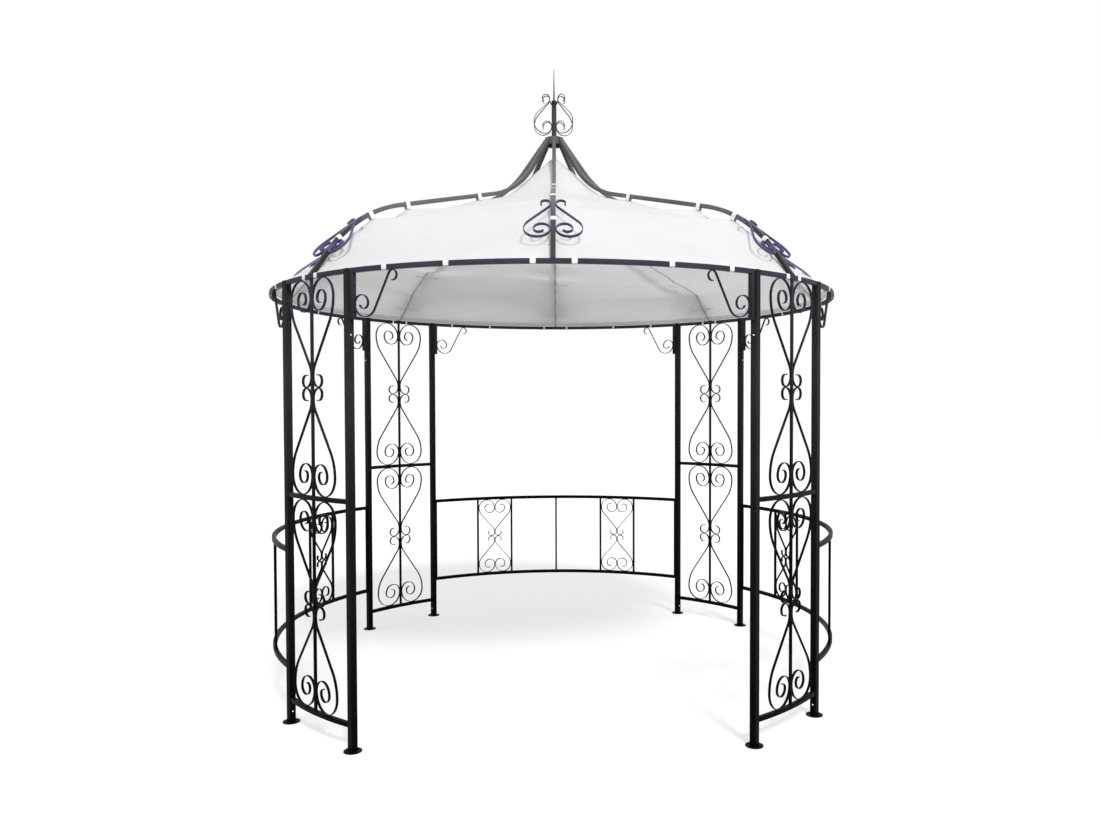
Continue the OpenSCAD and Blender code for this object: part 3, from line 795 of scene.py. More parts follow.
# %% Bend the ribs
rib_grid = carry(bar_section(BAR, BAR, 0.0016), *walk(RIB_LEGS, RIB_START, FOOT, step=2.0))
low, high = rib_grid[0], rib_grid[-1]
foot_way, neck_way = way(FOOT), way(NECK)
low[:, :2] -= foot_way * (low[:, 1] / foot_way[1])[:, None]
high[:, :2] += neck_way * ((HUB_R - high[:, 0]) / neck_way[0])[:, None]
RIB_PLANE = move(0, 0, RING_TOP) @ turn_z(-90) @ turn_x(90)
for number in range(1, 9):
    rib = bars(f"roof_rib_{number}", [placed(rib_grid, [turn_z((number - 1) * 45) @ RIB_PLANE])], roof_coat)
    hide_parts(f"rib_{number}")
    compare(rib, f"rib_{number}")

# %% [markdown]
# ## A place on the rib
#
# The hearts, the cloth and the straps all need to know where the rib is at a
# distance along it. That is found leg by leg: for the distances that end in a
# leg, the part of the leg that has been walked gives the point.

# %% Point and heading at a distance
def rib_place(d):
    """Points and headings at the distances d along the rib, by the formulas of leg_end."""
    d = np.atleast_1d(np.asarray(d, float))
    points, heads = np.zeros((len(d), 2)), np.zeros(len(d))
    point, heading, gone = RIB_START, FOOT, 0.0
    for number, (size, sweep) in enumerate(RIB_LEGS):
        long = size if sweep == 0 else size * math.radians(abs(sweep))
        here = (d >= gone) & ((d <= gone + long) | (number == len(RIB_LEGS) - 1))
        t = d[here] - gone
        if sweep == 0:
            points[here] = point + t[:, None] * way(heading)
            heads[here] = heading
        else:
            h, g = math.radians(heading), np.radians(heading + sweep * t / long)
            k = math.copysign(size, sweep)
            points[here] = point + k * np.stack([np.sin(g) - math.sin(h), math.cos(h) - np.cos(g)], 1)
            heads[here] = np.degrees(g)
        point, heading = leg_end((size, sweep), point, heading)
        gone += long
    return points, heads


print("a metre along the rib:", np.round(rib_place(1.0)[0], 3))

# %% [markdown]
# ## Hearts on the ribs
#
# A pair of half hearts sits on the foot of each rib. Its plane slopes with the
# foot and stands a little over the bar, so the edges of the flat bar can be
# welded to the rib's sides.

# %% Bend the rib hearts
CREST_AT, CREST_LONG, CREST_LIFT = 0.110, 0.255, 0.010
CREST = SimpleNamespace(
    lobe=0.053, flank=0.080, neck=0.035, root=0.020, end=0.020, land=0.006, hook=220, turns=1, tip=150
)
points, heads = rib_place([CREST_AT, CREST_AT + CREST_LONG])
heads = np.radians(heads)
start, stop = points + CREST_LIFT * np.stack([np.sin(heads), -np.cos(heads)], 1)
slope = math.degrees(math.atan2(stop[1] - start[1], start[0] - stop[0]))
crest_grid = carry(FLAT_BAR, *half_heart(CREST_LONG, CREST))
on_rib = move(0, -start[0], RING_TOP + start[1]) @ turn_x(slope)
crest_places = [
    turn_z(number * 45) @ on_rib @ scaled(side, 1, 1) @ move(BAR / 2, 0, 0)
    for number in range(8) for side in (1, -1)
]
crests = bars("rib_heart_pairs", [placed(crest_grid, crest_places)], heart_coat)
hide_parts("rib_hearts")
compare(crests, "rib_hearts")

# %% [markdown]
# ## Hearts round the finial
#
# Four half hearts of a narrower flat bar stand round the finial's post. They
# stand in two pairs, left and right, and the two of a pair open like a book, so
# that from the front each one shows beside the other. Their coils touch the
# post, their necks stand a centimetre off it, and a short sloping link ties
# each neck to the post.

# %% Lines of the finial's hearts
FINIAL = SimpleNamespace(
    height=0.236, foot=0.023, end=0.017, inner=0.025, near=0.043, far=0.057, flank=0.080, neck=0.020,
    root=0.021, off=0.010, land=0.004, hook=240, tip=40,
)
LINK_Z, LINK_FALL = 0.204, 0.019


def finial_heart(heart):
    """Middle line of a half heart whose neck stands off from the post.

    end and inner are the radii of the coil's tip and half turn, near and far
    those of the lobe's two quarters. The rest is as in half_heart.
    """
    lobe_middle = (HALF_T + heart.near + heart.far - heart.flank, heart.foot + heart.far)
    neck_middle = (HALF_T + heart.off + heart.neck, heart.height - heart.root - heart.land)
    lean, length = slant(lobe_middle, heart.flank, neck_middle, heart.neck)
    legs = [
        (heart.near, 90), (heart.far, 90), (heart.flank, lean - 90), (length, 0), (heart.neck, 90 - lean),
        (heart.land, 0), (heart.root, -90), (heart.root, 90 - heart.hook),
    ]
    return with_coil([(heart.end, heart.tip), (heart.inner, 180)], (HALF_T, heart.foot + heart.near), legs)


link_slope = math.degrees(math.atan2(-LINK_FALL, -FINIAL.off))
link_line = walk([(math.hypot(FINIAL.off, LINK_FALL), 0)], (HALF_T + FINIAL.off, LINK_Z), link_slope)

# %% [markdown]
# Each pair is given by its bearing, half the angle that it opens by, and the
# distance of its edges from the post's middle. The pair that opens less stands
# a little further out.

# %% Bend the finial's hearts
FINIAL_Z = RING_TOP + RISE + BAR
FINIAL_PAIRS = ((0, 26, 0.0116), (180, 18, 0.0127))
narrow_bar = bar_section(FLAT_THICK, 0.0062, FLAT_EDGE)
finial_places = [
    move(0, 0, FINIAL_Z) @ turn_z(bearing + opened) @ STAND @ move(post_face, 0, 0)
    for bearing, half_open, post_face in FINIAL_PAIRS for opened in (-half_open, half_open)
]
finial_lines = (finial_heart(FINIAL), link_line)
finial_grids = [placed(carry(narrow_bar, *line), finial_places) for line in finial_lines]
finial = bars("finial_hearts", finial_grids, finial_coat)
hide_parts("finial_scrolls")
compare(finial, "finial_scrolls")

# %% [markdown]
# ## Where the canopy hangs
#
# The canopy is one sheet sewn from eight gores. Its seams run under the ribs, a
# finger's width below the bar, and leave them where the neck grows steep: from
# there the cloth goes straight to a peak below the hub. A point of the sheet is
# a distance d along the seam and a place v across its gore, from -1 at one rib
# to 1 at the next.

# %% The seam line
HALF_GORE = math.radians(22.5)
CLOTH_FOOT, CLOTH_DROP, PEAK_SLOPE = 0.0115, 0.024, 40.0
HEM_CLEAR = 0.0003  # room over the ring
HEM_UNDER = 0.0025  # the hem's inner face below the sheet's place
neck_share = (PEAK_SLOPE - SHOULDER_SLOPE) / (NECK_SLOPE - SHOULDER_SLOPE)
shoulder_long = SHOULDER_R * math.radians(FOOT_SLOPE - SHOULDER_SLOPE)
neck_long = NECK_R * math.radians(NECK_SLOPE - SHOULDER_SLOPE)
SEAM_LONG = FOOT_LONG + shoulder_long + long_1 + neck_long * neck_share
foot_slope = math.radians(FOOT_SLOPE)
HEM_D = (HEM_CLEAR + (CLOTH_FOOT + HEM_UNDER) * math.cos(foot_slope)) / math.sin(foot_slope)


def ease(t):
    """0 below 0, 1 above 1, and 3t^2 - 2t^3 between, which starts and ends level."""
    u = np.clip(t, 0, 1)
    return u * u * (3 - 2 * u)


def seam_point(d):
    """The rib's middle line, moved below the rib by a drop that grows from the hem to the end of the foot."""
    points, heads = rib_place(d)
    h = np.radians(heads)
    below = np.stack([-np.sin(h), np.cos(h)], 1)
    drop = CLOTH_FOOT + (CLOTH_DROP - CLOTH_FOOT) * ease(np.asarray(d) / FOOT_LONG)
    return points + drop[:, None] * below, below


seam_top = seam_point(np.array([SEAM_LONG]))[0][0]
PEAK_Z = seam_top[1] + seam_top[0] * math.tan(math.radians(PEAK_SLOPE))
TOP_LONG = math.hypot(seam_top[0], PEAK_Z - seam_top[1])
print("seam", round(SEAM_LONG + TOP_LONG, 3), "m long, peak at", round(RING_TOP + PEAK_Z, 3))

# %% [markdown]
# ## Where the straps hold it
#
# Each rib has four straps and each half side of the ring has four more. The
# places on the ring are bearings from a side's middle: the third strap stands
# beside the hook of the corner scroll, and the middle two have slid a little to
# one side. Every gore is a little tighter or looser than the next, and the
# creases at each strap begin at an angle of their own.

# %% Places of the straps
RIB_TIES = np.array([0.222, 0.430, 0.648, 1.100])
FIRST_TIE, NEXT_TIE, LAST_TIE, TIE_SLID = 0.080, 0.370, 0.050, 0.028
BESIDE_HOOK = 0.045  # from the hook's inner side to the strap's middle
hook_side = LEG_X + BAR / 2 + CORNER.reach - FLAT_THICK - 2 * CORNER.hook - BESIDE_HOOK
RING_TIES = np.array([
    math.degrees(FIRST_TIE / PLAN_R),
    math.degrees((FIRST_TIE + NEXT_TIE) / PLAN_R),
    45 - math.degrees(math.asin(hook_side / PLAN_R)),
    45 - math.degrees(LAST_TIE / PLAN_R),
])
TIE_DRIFT = math.degrees(TIE_SLID / PLAN_R) * np.array([0, 1, 1, 0])
rng = np.random.default_rng(11)
GORE_SLACK = rng.uniform(0.8, 1.25, 8)
TIE_PHASE = rng.uniform(0, 2 * math.pi, (8, 2, 4))
print("straps on the ring at", np.round(RING_TIES, 1), "degrees")

# %% [markdown]
# ## How the cloth hangs
#
# Between two straps nothing holds the seam up, so the cloth hangs in a shallow
# curve under the rib, deepest on the flat shoulder. One seam, at the back on
# the right, has two of its straps undone: it hangs a hand's width below its
# rib, and the two gores beside it slope down to it.

# %% Hang between the straps
HANG = [
    (RIB_TIES[1], RIB_TIES[2], 0.034),
    (RIB_TIES[2], RIB_TIES[3], 0.017),
    (RIB_TIES[0], RIB_TIES[1], 0.006),
]
SLACK_RIB, SLACK_DEEP, SLACK_RUN, SLACK_RISE = 3, 0.097, 0.26, 0.80


def slack_depth(d):
    """Depth of the slack seam in metres: SLACK_DEEP times a share.

    From the first strap the share grows as t(1.3 - 0.3t), which is 1 after
    SLACK_RUN. From SLACK_RISE it eases back to nothing at the neck's strap.
    """
    t = np.clip((d - RIB_TIES[0]) / SLACK_RUN, 0, 1)
    rise = ease((d - SLACK_RISE) / (RIB_TIES[3] - SLACK_RISE))
    return SLACK_DEEP * t * (1.3 - 0.3 * t) * (1 - rise)


def hang(d, v, from_rib, gore):
    """A seam sinks by deep * sin(pi t)^1.5 between two straps.

    The share that reaches the cloth at from_rib metres from the seam is
    0.1 + 0.9 * exp(-(from_rib / 0.24)^2). In the gores beside the slack seam
    its depth takes over evenly from one seam to the other.
    """
    low = np.zeros_like(d)
    share = 0.10 + 0.90 * np.exp(-((from_rib / 0.24) ** 2))
    for start, stop, deep in HANG:
        t = np.clip((d - start) / (stop - start), 0, 1)
        low += GORE_SLACK[gore] * deep * np.sin(math.pi * t) ** 1.5 * share
    if gore in (SLACK_RIB - 1, SLACK_RIB):
        share = (1 + v) / 2 if gore < SLACK_RIB else (1 - v) / 2
        low = low * (1 - share) + slack_depth(d) * share
    return low


# %% [markdown]
# Small creases run out of each strap like a fan: a wave that goes round the
# strap, and that fades away from it and in the last 3 cm before it.

# %% Creases at the straps
RIB_FAN = SimpleNamespace(waves=6, deep=0.0022, reach=0.15)
RING_FAN = SimpleNamespace(waves=7, deep=0.0016, reach=0.11)
FAN_FLAT = 0.03  # cloth without creases round a strap
RING_FAN_D = 0.01  # where the ring's straps are along the seam


def fan(kind, along, aside, phase):
    """deep * cos(waves * turn + phase) * exp(-(near/reach)^2) * (1 - exp(-(near/FAN_FLAT)^2))."""
    near, turn = np.hypot(along, aside), np.arctan2(aside, along)
    fade = np.exp(-((near / kind.reach) ** 2)) * (1 - np.exp(-((near / FAN_FLAT) ** 2)))
    return kind.deep * np.cos(kind.waves * turn + phase) * fade


def creases(d, v, radius, gore):
    """The fans of the eight straps on the gore's two ribs and of the four on its part of the ring."""
    low = np.zeros_like(d)
    for side in (-1, 1):
        aside = (1 - side * v) * HALF_GORE * radius
        for number, at in enumerate(RIB_TIES):
            low += fan(RIB_FAN, d - at, aside, TIE_PHASE[gore, (side + 1) // 2, number])
    ring_ties = TIE_DRIFT + (RING_TIES if gore % 2 == 0 else 45 - RING_TIES)
    for number, at in enumerate(ring_ties):
        along = ((v + 1) * HALF_GORE - math.radians(at)) * radius
        low += fan(RING_FAN, along, d - RING_FAN_D, TIE_PHASE[gore, 0, number] * 2)
    return low


# %% [markdown]
# The middle of a gore hangs too, and the seam's stitching gathers the cloth a
# little. Each of these is a height of its own, and the sheet moves by their
# sum, square to itself. Nothing of it is left at the hem, which the ring's
# straps hold.

# %% The heights added up
BELLY, PUCKER, PUCKER_WIDE = 0.014, 0.0007, 0.035
PUCKER_WAVES = 95  # radians to the metre, so a pucker every 66 mm
HEM_STIFF = 0.06  # the heights ease in over this distance from the hem


def cloth_heights(d, v, gore):
    """How far the sheet lies below its taut shape, in metres, at distances d and places v of one gore.

    hang + BELLY * (1 - v^2) on the shoulder + creases + a fine wave along the
    seam, PUCKER * exp(-(distance from it / PUCKER_WIDE)^2).
    """
    radius = rib_place(d.ravel())[0][:, 0].reshape(d.shape)
    from_rib = (1 - np.abs(v)) * HALF_GORE * radius
    low = hang(d, v, from_rib, gore)
    on_shoulder = ease((d - 0.12) / 0.3) * (1 - ease((d - 1.05) / 0.35))
    low += BELLY * GORE_SLACK[gore] * on_shoulder * (1 - v * v)
    low += creases(d, v, radius, gore)
    uneven = 3 * np.sin(d * 17 + gore)
    pucker = np.sin(d * PUCKER_WAVES + uneven) * np.exp(-((from_rib / PUCKER_WIDE) ** 2))
    low += PUCKER * pucker * ease((d - 0.05) / 0.1)
    return low * ease((d - HEM_D) / HEM_STIFF)


# %% [markdown]
# Near the hem a row of the sheet is a circle, because it follows the ring.
# Higher up nothing holds the cloth between two ribs, and the row is straight
# from one to the other.

# %% Points of the sheet
ROUND_TO = 0.160  # height over the ring where a row has become straight


def cloth_points(d, v, gore, below=0.0):
    """Sheet points of one gore, below metres under the sheet's own place.

    A row's distance from the middle is the seam's, times the part for a
    straight row, cos(22.5) / cos(bearing), which eases in up to the height
    ROUND_TO. Above the seam's end the rows go straight to the peak.
    """
    inside = np.minimum(d, SEAM_LONG)
    p, down = seam_point(inside.ravel())
    p, down = p.reshape(*d.shape, 2), down.reshape(*d.shape, 2)
    rest = ((d - inside) / TOP_LONG)[..., None]
    p = p * (1 - rest) + np.array([0.0, PEAK_Z]) * rest
    low = cloth_heights(inside, v, gore) * (1 - rest[..., 0]) + below
    p = p + low[..., None] * down
    a = v * HALF_GORE
    straight = math.cos(HALF_GORE) / np.cos(a)
    r = p[..., 0] * (1 + (straight - 1) * ease(p[..., 1] / ROUND_TO))
    t = math.radians((gore + 0.5) * 45) + a
    return np.stack([r * np.sin(t), -r * np.cos(t), RING_TOP + p[..., 1]], -1)


# %% [markdown]
# ## The canopy sheet
#
# The rows run from the hem to the peak and the columns right round the
# gazebo, so the whole canopy is one grid that closes on itself.

# %% Work out the sheet
SHEET_THICK = 0.0012
ROWS, TOP_ROWS, COLUMNS = 132, 12, 26
top_rows = SEAM_LONG + TOP_LONG * np.linspace(0, 1, TOP_ROWS + 1)[1:]
d_rows = np.concatenate([np.linspace(HEM_D, SEAM_LONG, ROWS - TOP_ROWS), top_rows])
v_columns = np.linspace(-1, 1, COLUMNS + 1)[:-1]
d_grid, v_grid = np.meshgrid(d_rows, v_columns, indexing="ij")
sheet_points = np.concatenate([cloth_points(d_grid, v_grid, g, SHEET_THICK) for g in range(8)], 1)
around = 8 * COLUMNS
# The corners in this order make the faces look up.
sheet_faces = ring_faces(ROWS, around)[:, [0, 3, 2, 1]]
print("sheet grid:", sheet_points.shape)

# %% [markdown]
# The UV map is the flat cut of each gore in metres, so that the weave keeps its
# size: one direction runs along the seam and the other across the gore.

# %% The flat cut
def seam_reach(d):
    """The rib's distance from the middle. Above the seam's end it shrinks evenly to nothing at the peak."""
    reach = rib_place(np.minimum(d, SEAM_LONG))[0][:, 0]
    return np.where(d > SEAM_LONG, reach * (1 - (d - SEAM_LONG) / TOP_LONG), reach)


def sheet_uvs(faces):
    """Flat place of every face corner: (reach * tan(22.5) * v, d), from the row and column of the face."""
    row, column = np.divmod(faces[:, 0], around)
    corners = []
    for up, aside in ((0, 0), (1, 0), (1, 1), (0, 1)):
        v = (column % COLUMNS + aside) / COLUMNS * 2 - 1
        d = d_rows[row + up]
        corners.append(np.stack([seam_reach(d) * math.tan(HALF_GORE) * v, d], -1))
    return np.stack(corners, 1).reshape(-1, 2)


# %% [markdown]
# The points of the last row all lie in the peak, so they are merged into one.
# Solidify then gives the sheet the thickness of a coated polyester.

# %% Put the canopy in the scene
canopy_mesh = bpy.data.meshes.new("canopy_sheet")
canopy_mesh.from_pydata(sheet_points.reshape(-1, 3), [], sheet_faces.tolist())
uv_layer = canopy_mesh.uv_layers.new(name="cloth_cut")
uv_layer.data.foreach_set("uv", sheet_uvs(sheet_faces).astype(np.float32).ravel())
canopy_mesh.polygons.foreach_set("use_smooth", np.ones(len(canopy_mesh.polygons), bool))
work = bmesh.new()
work.from_mesh(canopy_mesh)
bmesh.ops.remove_doubles(work, verts=work.verts, dist=1e-6)
work.to_mesh(canopy_mesh)
work.free()
canopy = bpy.data.objects.new("canopy_sheet", canopy_mesh)
bpy.context.scene.collection.objects.link(canopy)
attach(canopy, "root")
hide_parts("canopy")
thick = canopy.modifiers.new("cloth_thickness", "SOLIDIFY")
thick.thickness, thick.offset = SHEET_THICK, 0.0
cloth_area = sum(face.area for face in canopy_mesh.polygons)
print("canopy faces:", len(canopy_mesh.polygons), "area:", round(cloth_area, 3), "m2")

# %% [markdown]
# ## The cloth's finish
#
# The canopy is white woven polyester with a thin coating. Light shines through
# it, which is why the ribs' shadows show from below: a Translucent shader is
# mixed in for that. The weave is two sets of fine waves that cross, in the flat
# cut's own metres, and faint soft noise stands for the handling marks.

# %% The weave
def canvas_relief(tree, fine, weave, threads):
    """Bump of two crossing waves, weave metres high, with a little of the fine noise."""
    cut = add(tree, "ShaderNodeUVMap").outputs["UV"]
    waves = []
    for direction in ("X", "Y"):
        wave = add(tree, "ShaderNodeTexWave", Vector=cut, Scale=threads / 20.0, Distortion=0.6, Detail=1.0)
        wave.bands_direction = direction
        waves.append(wave.outputs["Fac"])
    woven = arithmetic(tree, "MAXIMUM", *waves)
    relief = arithmetic(tree, "ADD", woven, arithmetic(tree, "MULTIPLY", fine, 0.8))
    return add(tree, "ShaderNodeBump", Height=relief, Strength=0.5, Distance=weave).outputs["Normal"]


# %% [markdown]
# The canopy lets the most light through. The seams hold two more layers of it
# and a thread, so they let none through; their dark grey is painted shade. The
# tapes' and the straps' grey is partly painted shade too, and the straps are of
# a coarser, thicker webbing.

# %% White canvas
SOILED = (0.945, 0.95, 0.935)


def canvas(name, colour, through, weave=0.00016, threads=1500.0):
    """Woven cloth. through is the share of light that shines through it.

    weave is the height of its threads in metres, and threads their number to
    the metre.
    """
    made, tree, surface = new_material(name)
    where = add(tree, "ShaderNodeTexCoord").outputs["Object"]
    cloudy = noise(tree, where, 2.6, 5.0)
    fine = noise(tree, where, 240.0, 3.0)
    marks = arithmetic(tree, "ADD", vary(tree, cloudy, 0.0, 0.7), vary(tree, fine, 0.0, 0.3))
    tinted = blend_colours(tree, marks, colour, tuple(c * f for c, f in zip(colour, SOILED)))
    normal = canvas_relief(tree, fine, weave, threads)
    fill(tree, surface, Base_Color=tinted, Roughness=vary(tree, fine, 0.70, 0.86), Normal=normal)
    fill(tree, surface, Specular_IOR_Level=0.25, Sheen_Weight=0.12)
    if through:
        glow = add(tree, "ShaderNodeBsdfTranslucent", Color=tinted, Normal=normal)
        mix = add(tree, "ShaderNodeMixShader", through, surface.outputs[0], glow.outputs[0])
        fill(tree, tree.nodes["Material Output"], Surface=mix.outputs[0])
    return made


canopy_cloth = canvas("canopy_cloth", (0.955, 0.952, 0.955), 0.58)
# Partly painted shade: the tapes' grey also stands in for the dark line that their shade draws through the
# cloth.
tape_cloth = canvas("tape_cloth", (0.78, 0.78, 0.77), 0.10)
# Painted shade: the seams' dark grey stands in for the shade that they draw in the cloth.
seam_painted_shade = canvas("seam_painted_shade", (0.40, 0.40, 0.39), 0.0)
# Partly painted shade: the webbing's light grey also stands in for the shade that the straps lie in.
strap_cloth = canvas("strap_cloth", (0.86, 0.86, 0.86), 0.0, weave=0.0003, threads=900.0)
canopy.data.materials.append(canopy_cloth)
print("cloths:", [m.name for m in (canopy_cloth, tape_cloth, seam_painted_shade, strap_cloth)])

# %% [markdown]
# ## Seams
#
# Two gores are joined by a folded seam, which shows from below as a narrow
# ridge and lets no light through. It is a narrow strip of the same surface,
# carried a little below the sheet, so it follows every sag and crease. It takes
# its left half from one gore and its right half from the next.

# %% Sew the seams
SEAM_HALF, SEAM_OVER, SEAM_UNDER = 0.0036, 0.0018, 0.0030


def cloth_strip(d, v, gore, above, under):
    """The two surfaces of a strip of the sheet, at distances above and under below the sheet's taut shape."""
    return np.stack([cloth_points(d, v, gore, above), cloth_points(d, v, gore, under)], 2)


def sewn(name, strips, coat):
    """Joins strips into one piece. A strip is rows x columns x 2 surfaces x 3.

    Each row becomes a ring that goes along the upper surface and back along
    the lower one.
    """
    rings = [np.concatenate([g[:, :, 0], g[:, :, 1][:, ::-1]], 1) for g in strips]
    return bars(name, [np.stack(rings)], coat)


SEAM_FROM, SEAM_TO, SEAM_ROWS = HEM_D + 0.002, SEAM_LONG + 0.97 * TOP_LONG, 110
seam_d = np.linspace(SEAM_FROM, SEAM_TO, SEAM_ROWS)
half_v = np.minimum(SEAM_HALF / (seam_reach(seam_d) * HALF_GORE), 0.5)[:, None]
across = np.linspace(0, 1, 3)
d_strip = np.repeat(seam_d[:, None], 3, 1)
welts = []
for gore in range(8):
    left = cloth_strip(d_strip, 1 - half_v * (1 - across), gore, SEAM_OVER, SEAM_UNDER)
    right = cloth_strip(d_strip, -1 + half_v * across, (gore + 1) % 8, SEAM_OVER, SEAM_UNDER)
    welts.append(np.concatenate([left, right[:, 1:]], 1))
# The welts' grey is painted shade.
seams = sewn("seam_welts", welts, seam_painted_shade)
print("seam welts:", len(seams.data.polygons), "faces")

# %% [markdown]
# ## The hem
#
# The hem is a folded band along the ring, 3 cm wide. Its section goes up on the
# outside of the sheet and down on the inside, and it runs right round the
# gazebo, so its faces close in both directions.

# %% Fold the hem
HEM_WIDE, HEM_OVER = 0.030, -0.0002
d_hem, v_hem = np.meshgrid(np.linspace(HEM_D, HEM_D + HEM_WIDE, 6), v_columns, indexing="ij")
outer = np.concatenate([cloth_points(d_hem, v_hem, g, HEM_OVER) for g in range(8)], 1)
inner = np.concatenate([cloth_points(d_hem, v_hem, g, HEM_UNDER) for g in range(8)], 1)
band = np.concatenate([outer, inner[::-1]], 0).transpose(1, 0, 2)
hem_faces = ring_faces(*band.shape[:2], closed=True)
hem = put_in_scene("canopy_hem", band.reshape(-1, 3), hem_faces.tolist(), canopy_cloth, sharp=60)
print("hem:", len(hem.data.polygons), "faces")

# %% [markdown]
# ## Tapes
#
# A short tape crosses each seam at two heights: one shows on the outside, just
# above the hem, and the other lies inside, on the shoulder. Each is given by
# its distance along the seam, the seam's distance from the middle there, and
# the places of its two surfaces.

# %% Sew the tapes on
TAPE_WIDE, TAPE_HALF = 0.007, 0.095
TAPES = ((0.100, 1.42, -0.0002, 0.0006), (0.386, 1.24, 0.0018, 0.0026))
patches = []
for gore in range(8):
    for low_d, radius, over, under in TAPES:
        half_v = TAPE_HALF / (radius * HALF_GORE)
        d_strip = np.repeat(np.linspace(low_d, low_d + TAPE_WIDE, 3)[:, None], 8, 1)
        left = np.linspace(1 - half_v, 1, 8)[None].repeat(3, 0)
        right = np.linspace(-1, -1 + half_v, 8)[None].repeat(3, 0)
        left = cloth_strip(d_strip, left, (gore - 1) % 8, over, under)
        right = cloth_strip(d_strip, right, gore, over, under)
        patches.append(np.concatenate([left, right[:, 1:]], 1))
tapes = sewn("seam_tapes", patches, tape_cloth)
print("tapes:", len(tapes.data.polygons), "faces")

# %% [markdown]
# ## The straps
#
# Short white straps hold the canopy: thirty-two round the ring and thirty-two
# round the ribs. Each is a loop of webbing round the square bar that reaches to
# the cloth. The loop is a closed path with rounded corners, and its section is
# a thin flat rectangle, a little crowned.

# %% A loop of webbing
STRAP_WIDE, STRAP_THICK, STRAP_CROWN = 0.023, 0.0012, 0.0003
SNUG = 0.0105  # a loop's inner face from the bar's middle
LOOP_CORNER = 0.003


def loop_path(x_low, x_high, y_low, y_high):
    """A rectangle with round corners, walked once round, and the direction outwards at each point."""
    turn = np.radians(np.linspace(0, 90, 5))
    corners = [(x_high, y_high, -1, -1), (x_low, y_high, 1, -1), (x_low, y_low, 1, 1), (x_high, y_low, -1, 1)]
    points, out_ways = [], []
    for number, (x, y, sx, sy) in enumerate(corners):
        a = turn + number * math.pi / 2
        outwards = np.stack([np.cos(a), np.sin(a)], 1)
        points.append(np.array([x + sx * LOOP_CORNER, y + sy * LOOP_CORNER]) + LOOP_CORNER * outwards)
        out_ways.append(outwards)
    return np.concatenate(points), np.concatenate(out_ways)


# %% [markdown]
# The webbing is carried along that path like a bar, but its width can shrink on
# one side of the loop, where it is tied, and it can lean a little.

# %% The webbing on the path
def webbing(path, out_way, skew, pinch):
    """Carries a flat section along the loop: an inner and an outer face, both crowned by crown * (1 - w^2).

    Its width is wide * (1 - pinch * (1 - out_way.x) / 2), so it is gathered on
    the side towards -x. skew slides the ends of the width along the loop.
    """
    w = np.linspace(-1, 1, 5)
    lift = STRAP_CROWN * (1 - w * w)
    inner = path[:, None] + out_way[:, None] * lift[None, :, None]
    outer = inner + out_way[:, None] * STRAP_THICK
    width = STRAP_WIDE / 2 * (1 - pinch * (1 - out_way[:, 0]) / 2)
    depth = (w[None, :] * width[:, None])[..., None]
    ring = np.concatenate([np.concatenate([inner, depth], 2), np.concatenate([outer, depth], 2)[:, ::-1]], 1)
    ring[..., 0] += skew * ring[..., 2]
    return ring


def closed_loops(name, rings, coat):
    """Loops whose path closes on itself: copies x path x section x 3."""
    copies, long, around = rings.shape[:3]
    faces = ring_faces(long, around, closed=True)
    every = np.concatenate([faces + copy * long * around for copy in range(copies)])
    return put_in_scene(name, rings.reshape(-1, 3), every.tolist(), coat, sharp=50)


# %% [markdown]
# On the ring a loop goes round the header's bar and in to the hem, where it is
# gathered to about half its width. Hand-tied loops never stand quite square, so
# each gets a little skew and slides a little along the bar.

# %% Loops round the ring
RING_SKEW, RING_SLIDE, RING_PINCH = 0.05, 0.12, 0.45
rng = np.random.default_rng(5)
hem_r = seam_point(np.array([HEM_D]))[0][0][0]
loop = loop_path(hem_r + HEM_CLEAR + STRAP_THICK, PLAN_R + SNUG, RING_Z - SNUG, RING_Z + SNUG)
ring_loops = []
for bearing in SIDE_BEARINGS.values():
    for side in (-1, 1):
        for at in side * RING_TIES + TIE_DRIFT:
            flat = webbing(*loop, rng.uniform(-RING_SKEW, RING_SKEW), RING_PINCH)
            upright = np.stack([flat[..., 2], -flat[..., 0], flat[..., 1]], -1)
            turned = turn_z(bearing + at + rng.uniform(-RING_SLIDE, RING_SLIDE))
            ring_loops.append(upright @ turned[:3, :3].T)
ring_straps = closed_loops("ring_straps", np.stack(ring_loops), strap_cloth)
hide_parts("ring_ties")
compare(ring_straps, "ring_ties")

# %% [markdown]
# On a rib a loop stands square to the bar and reaches down to the seam. On the
# rib over the entrance the last strap sits higher, on the neck.

# %% Loops round the ribs
FRONT_TIE = 1.285
RIB_SKEW, RIB_PINCH = 0.06, 0.1
ABOVE_SEAM = 0.0004  # where a loop's inner face ends
loop = loop_path(-SNUG, CLOTH_DROP - ABOVE_SEAM, -SNUG, SNUG)
rib_loops = []
for number in range(8):
    place = turn_z(number * 45) @ RIB_PLANE
    for at in [*RIB_TIES[:3], FRONT_TIE if number == 0 else RIB_TIES[3]]:
        (point,), (heading,) = rib_place([at])
        flat = webbing(*loop, rng.uniform(-RIB_SKEW, RIB_SKEW), RIB_PINCH)
        along = way(heading)
        below = np.array([-along[1], along[0]])
        plane = point + flat[..., :1] * below + flat[..., 2:] * along
        local = np.stack([plane[..., 0], plane[..., 1], flat[..., 1]], -1)
        rib_loops.append(local @ place[:3, :3].T + place[:3, 3])
rib_straps = closed_loops("rib_straps", np.stack(rib_loops), strap_cloth)
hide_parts("rib_ties")
compare(rib_straps, "rib_ties")

# %% [markdown]

# %% [markdown]
# ## Bolts
#
# Small zinc bolts hold the feet to the posts, and black ones hold the headers'
# legs. A dome head is a quarter circle turned round an axis. Zinc is a bare
# metal whose roughness and brightness vary in small patches.

